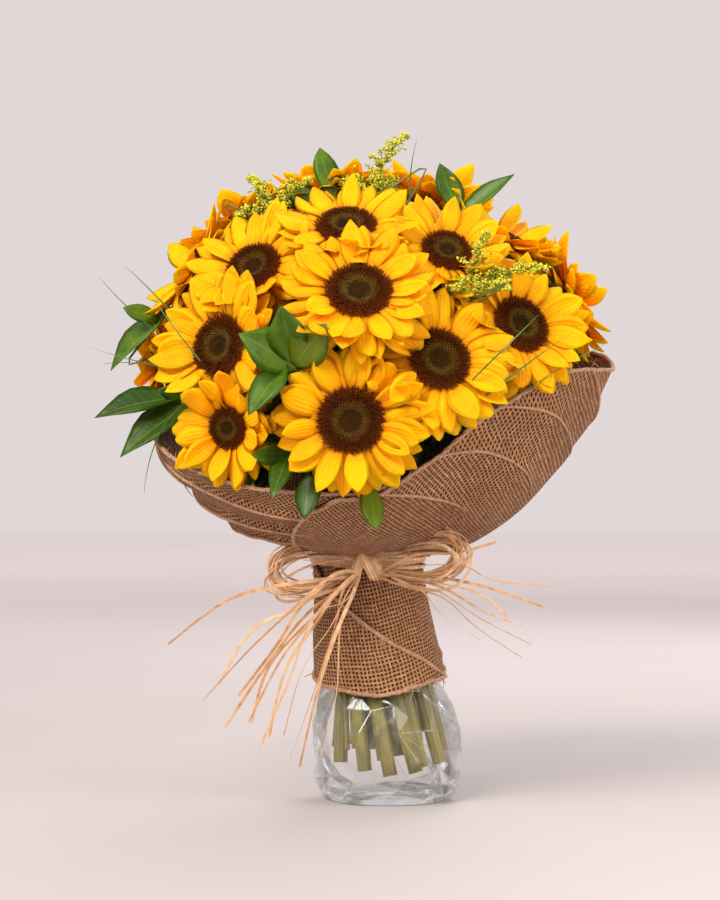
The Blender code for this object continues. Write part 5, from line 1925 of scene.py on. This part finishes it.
# %% [markdown]
# ## Clear film
# What we see of clear film is nearly all reflection, strongest where we look along it. So its finish
# is a mirror that is almost absent when seen square on. A crease is whiter and blunter than the film
# beside it, so it has a finish of its own.

# %% Film finish
FILM_TINT = (0.96, 0.97, 1.0, 1)


def film_finish(name, least, roughness):
    """least is how much of the film shows when it is seen square on."""
    made, w, shader = finish_called(name, Roughness=roughness, Base_Color=FILM_TINT, Metallic=1.0)
    edge = w.node("ShaderNodeFresnel", {"IOR": 1.40})
    w.put(shader.inputs["Alpha"], w.maths("MINIMUM", w.plus(w.times(edge, 1.5), least), 0.85))
    w.bump(shader, w.noise(w.place(), 45.0, 1.0), 0.25, 0.003)
    return made


FILM = film_finish("clear_film", 0.012, 0.07)
CREASE = film_finish("clear_film_crease", 0.08, 0.32)
print("finishes:", FILM.name, CREASE.name)

# %% [markdown]
# ## The bag
# Stiff clear film, gathered round the stems, holds the water and is the foot that the bunch stands on.
# Such film doesn't bend softly: it breaks into flat facets with sharp creases between them. So its
# shell is made of large, flat-shaded faces, and each sharp edge is cut back to a narrow crease.

# %% Bag
BAG_OUTSIDE = [(0, .0470), (.0060, .0530), (.0200, .0590), (.0420, .0622), (.0620, .0610),
               (.0760, .0560), (.0880, .0491), (.1010, .0476), (.1200, .0450)]
# height, and how crumpled the film is there
BAG_LEVELS = [(.0, .0), (.007, .0026), (.018, .0030), (.036, .0024), (.058, .0026), (.076, .0026),
              (.090, .0012), (.104, .0006), (.118, .0005)]
FACETS = 19
SHARP, CREASE_WIDTH = 0.16, 0.00045


def film_spot(bearing, height, rng, rough):
    radius = profile_at(BAG_OUTSIDE, height) + rng.normal(0, rough) - .0005
    z = max(0.0004, height + rng.normal(0, rough * 0.7))
    return axis_at(height) + ring_spot(radius, math.radians(bearing), z)


def crumpled_shell(rng):
    """The points and the three-cornered faces of the bag, closed by a raised foot."""
    points, faces = [], []
    for level, (height, rough) in enumerate(BAG_LEVELS):
        for j in range(FACETS):
            bearing = 360 / FACETS * (j + 0.5 * (level % 2) + rng.uniform(-0.30, 0.30))
            points.append(film_spot(bearing, height, rng, rough))
    for level in range(len(BAG_LEVELS) - 1):
        for j in range(FACETS):
            a, b = level * FACETS + j, level * FACETS + (j + 1) % FACETS
            c, d = a + FACETS, b + FACETS
            faces += [(a, b, d), (a, d, c)] if (level + j) % 3 else [(a, b, c), (b, d, c)]
    points.append(Vector((0, 0, .0030)))
    faces += [(j, len(points) - 1, (j + 1) % FACETS) for j in range(FACETS)]
    return points, faces


def crease(mesh):
    """Cuts every sharp edge back to a narrow strip with the second finish."""
    bm = bmesh.new()
    bm.from_mesh(mesh)
    sharp = [e for e in bm.edges if len(e.link_faces) == 2 and e.calc_face_angle(0.0) > SHARP]
    strips = bmesh.ops.bevel(bm, geom=sharp, offset=CREASE_WIDTH, segments=1, profile=0.5, affect="EDGES")
    for face in strips["faces"]:
        face.material_index = 1
    bm.to_mesh(mesh)
    bm.free()


def add_bag():
    points, faces = crumpled_shell(np.random.default_rng(29))
    mesh = mesh_of("bag_film", points, (), faces)
    turn_outwards(mesh)
    crease(mesh)
    mesh.materials.append(FILM)
    mesh.materials.append(CREASE)
    print("film covers", round(sum(p.area for p in mesh.polygons), 4), "square metres")
    return belongs(in_scene("bag_film", mesh), "cellophane", "cellophane_bag")


bag = add_bag()

# %% [markdown]
# ## Water
# The water fills the bag up to its level and stays a few millimetres inside the film. Seen through the
# film it is nearly invisible, so it is only a faint tint that is stronger where we look along it.

# %% Water
WATER_TINT, WATER_LEVEL, WATER_AROUND = (0.80, 0.86, 0.84, 1), .088, 40
WATER_RINGS = [(.0040, .040), (.0075, .0500), (.0200, .0555), (.0420, .0588), (.0620, .0576),
               (.0760, .0526), (WATER_LEVEL, .0460)]


def water_finish():
    made, w, shader = finish_called("water", Roughness=0.02, Base_Color=WATER_TINT, IOR=1.33)
    edge = w.node("ShaderNodeFresnel", {"IOR": 1.25})
    w.put(shader.inputs["Alpha"], w.plus(w.times(edge, 0.30), 0.03))
    return made


def add_water():
    points = [axis_at(z) + Vector(spot) for z, r in WATER_RINGS for spot in ring_of(WATER_AROUND, r, z)]
    mesh = mesh_of("water_in_bag", points, (), tube_faces(len(WATER_RINGS), WATER_AROUND))
    mesh.shade_smooth()
    mesh.materials.append(water_finish())
    return belongs(in_scene("water_in_bag", mesh), "water", "bag_water")


add_water()
print("water:", WATER_LEVEL, "m high")

# %% [markdown]
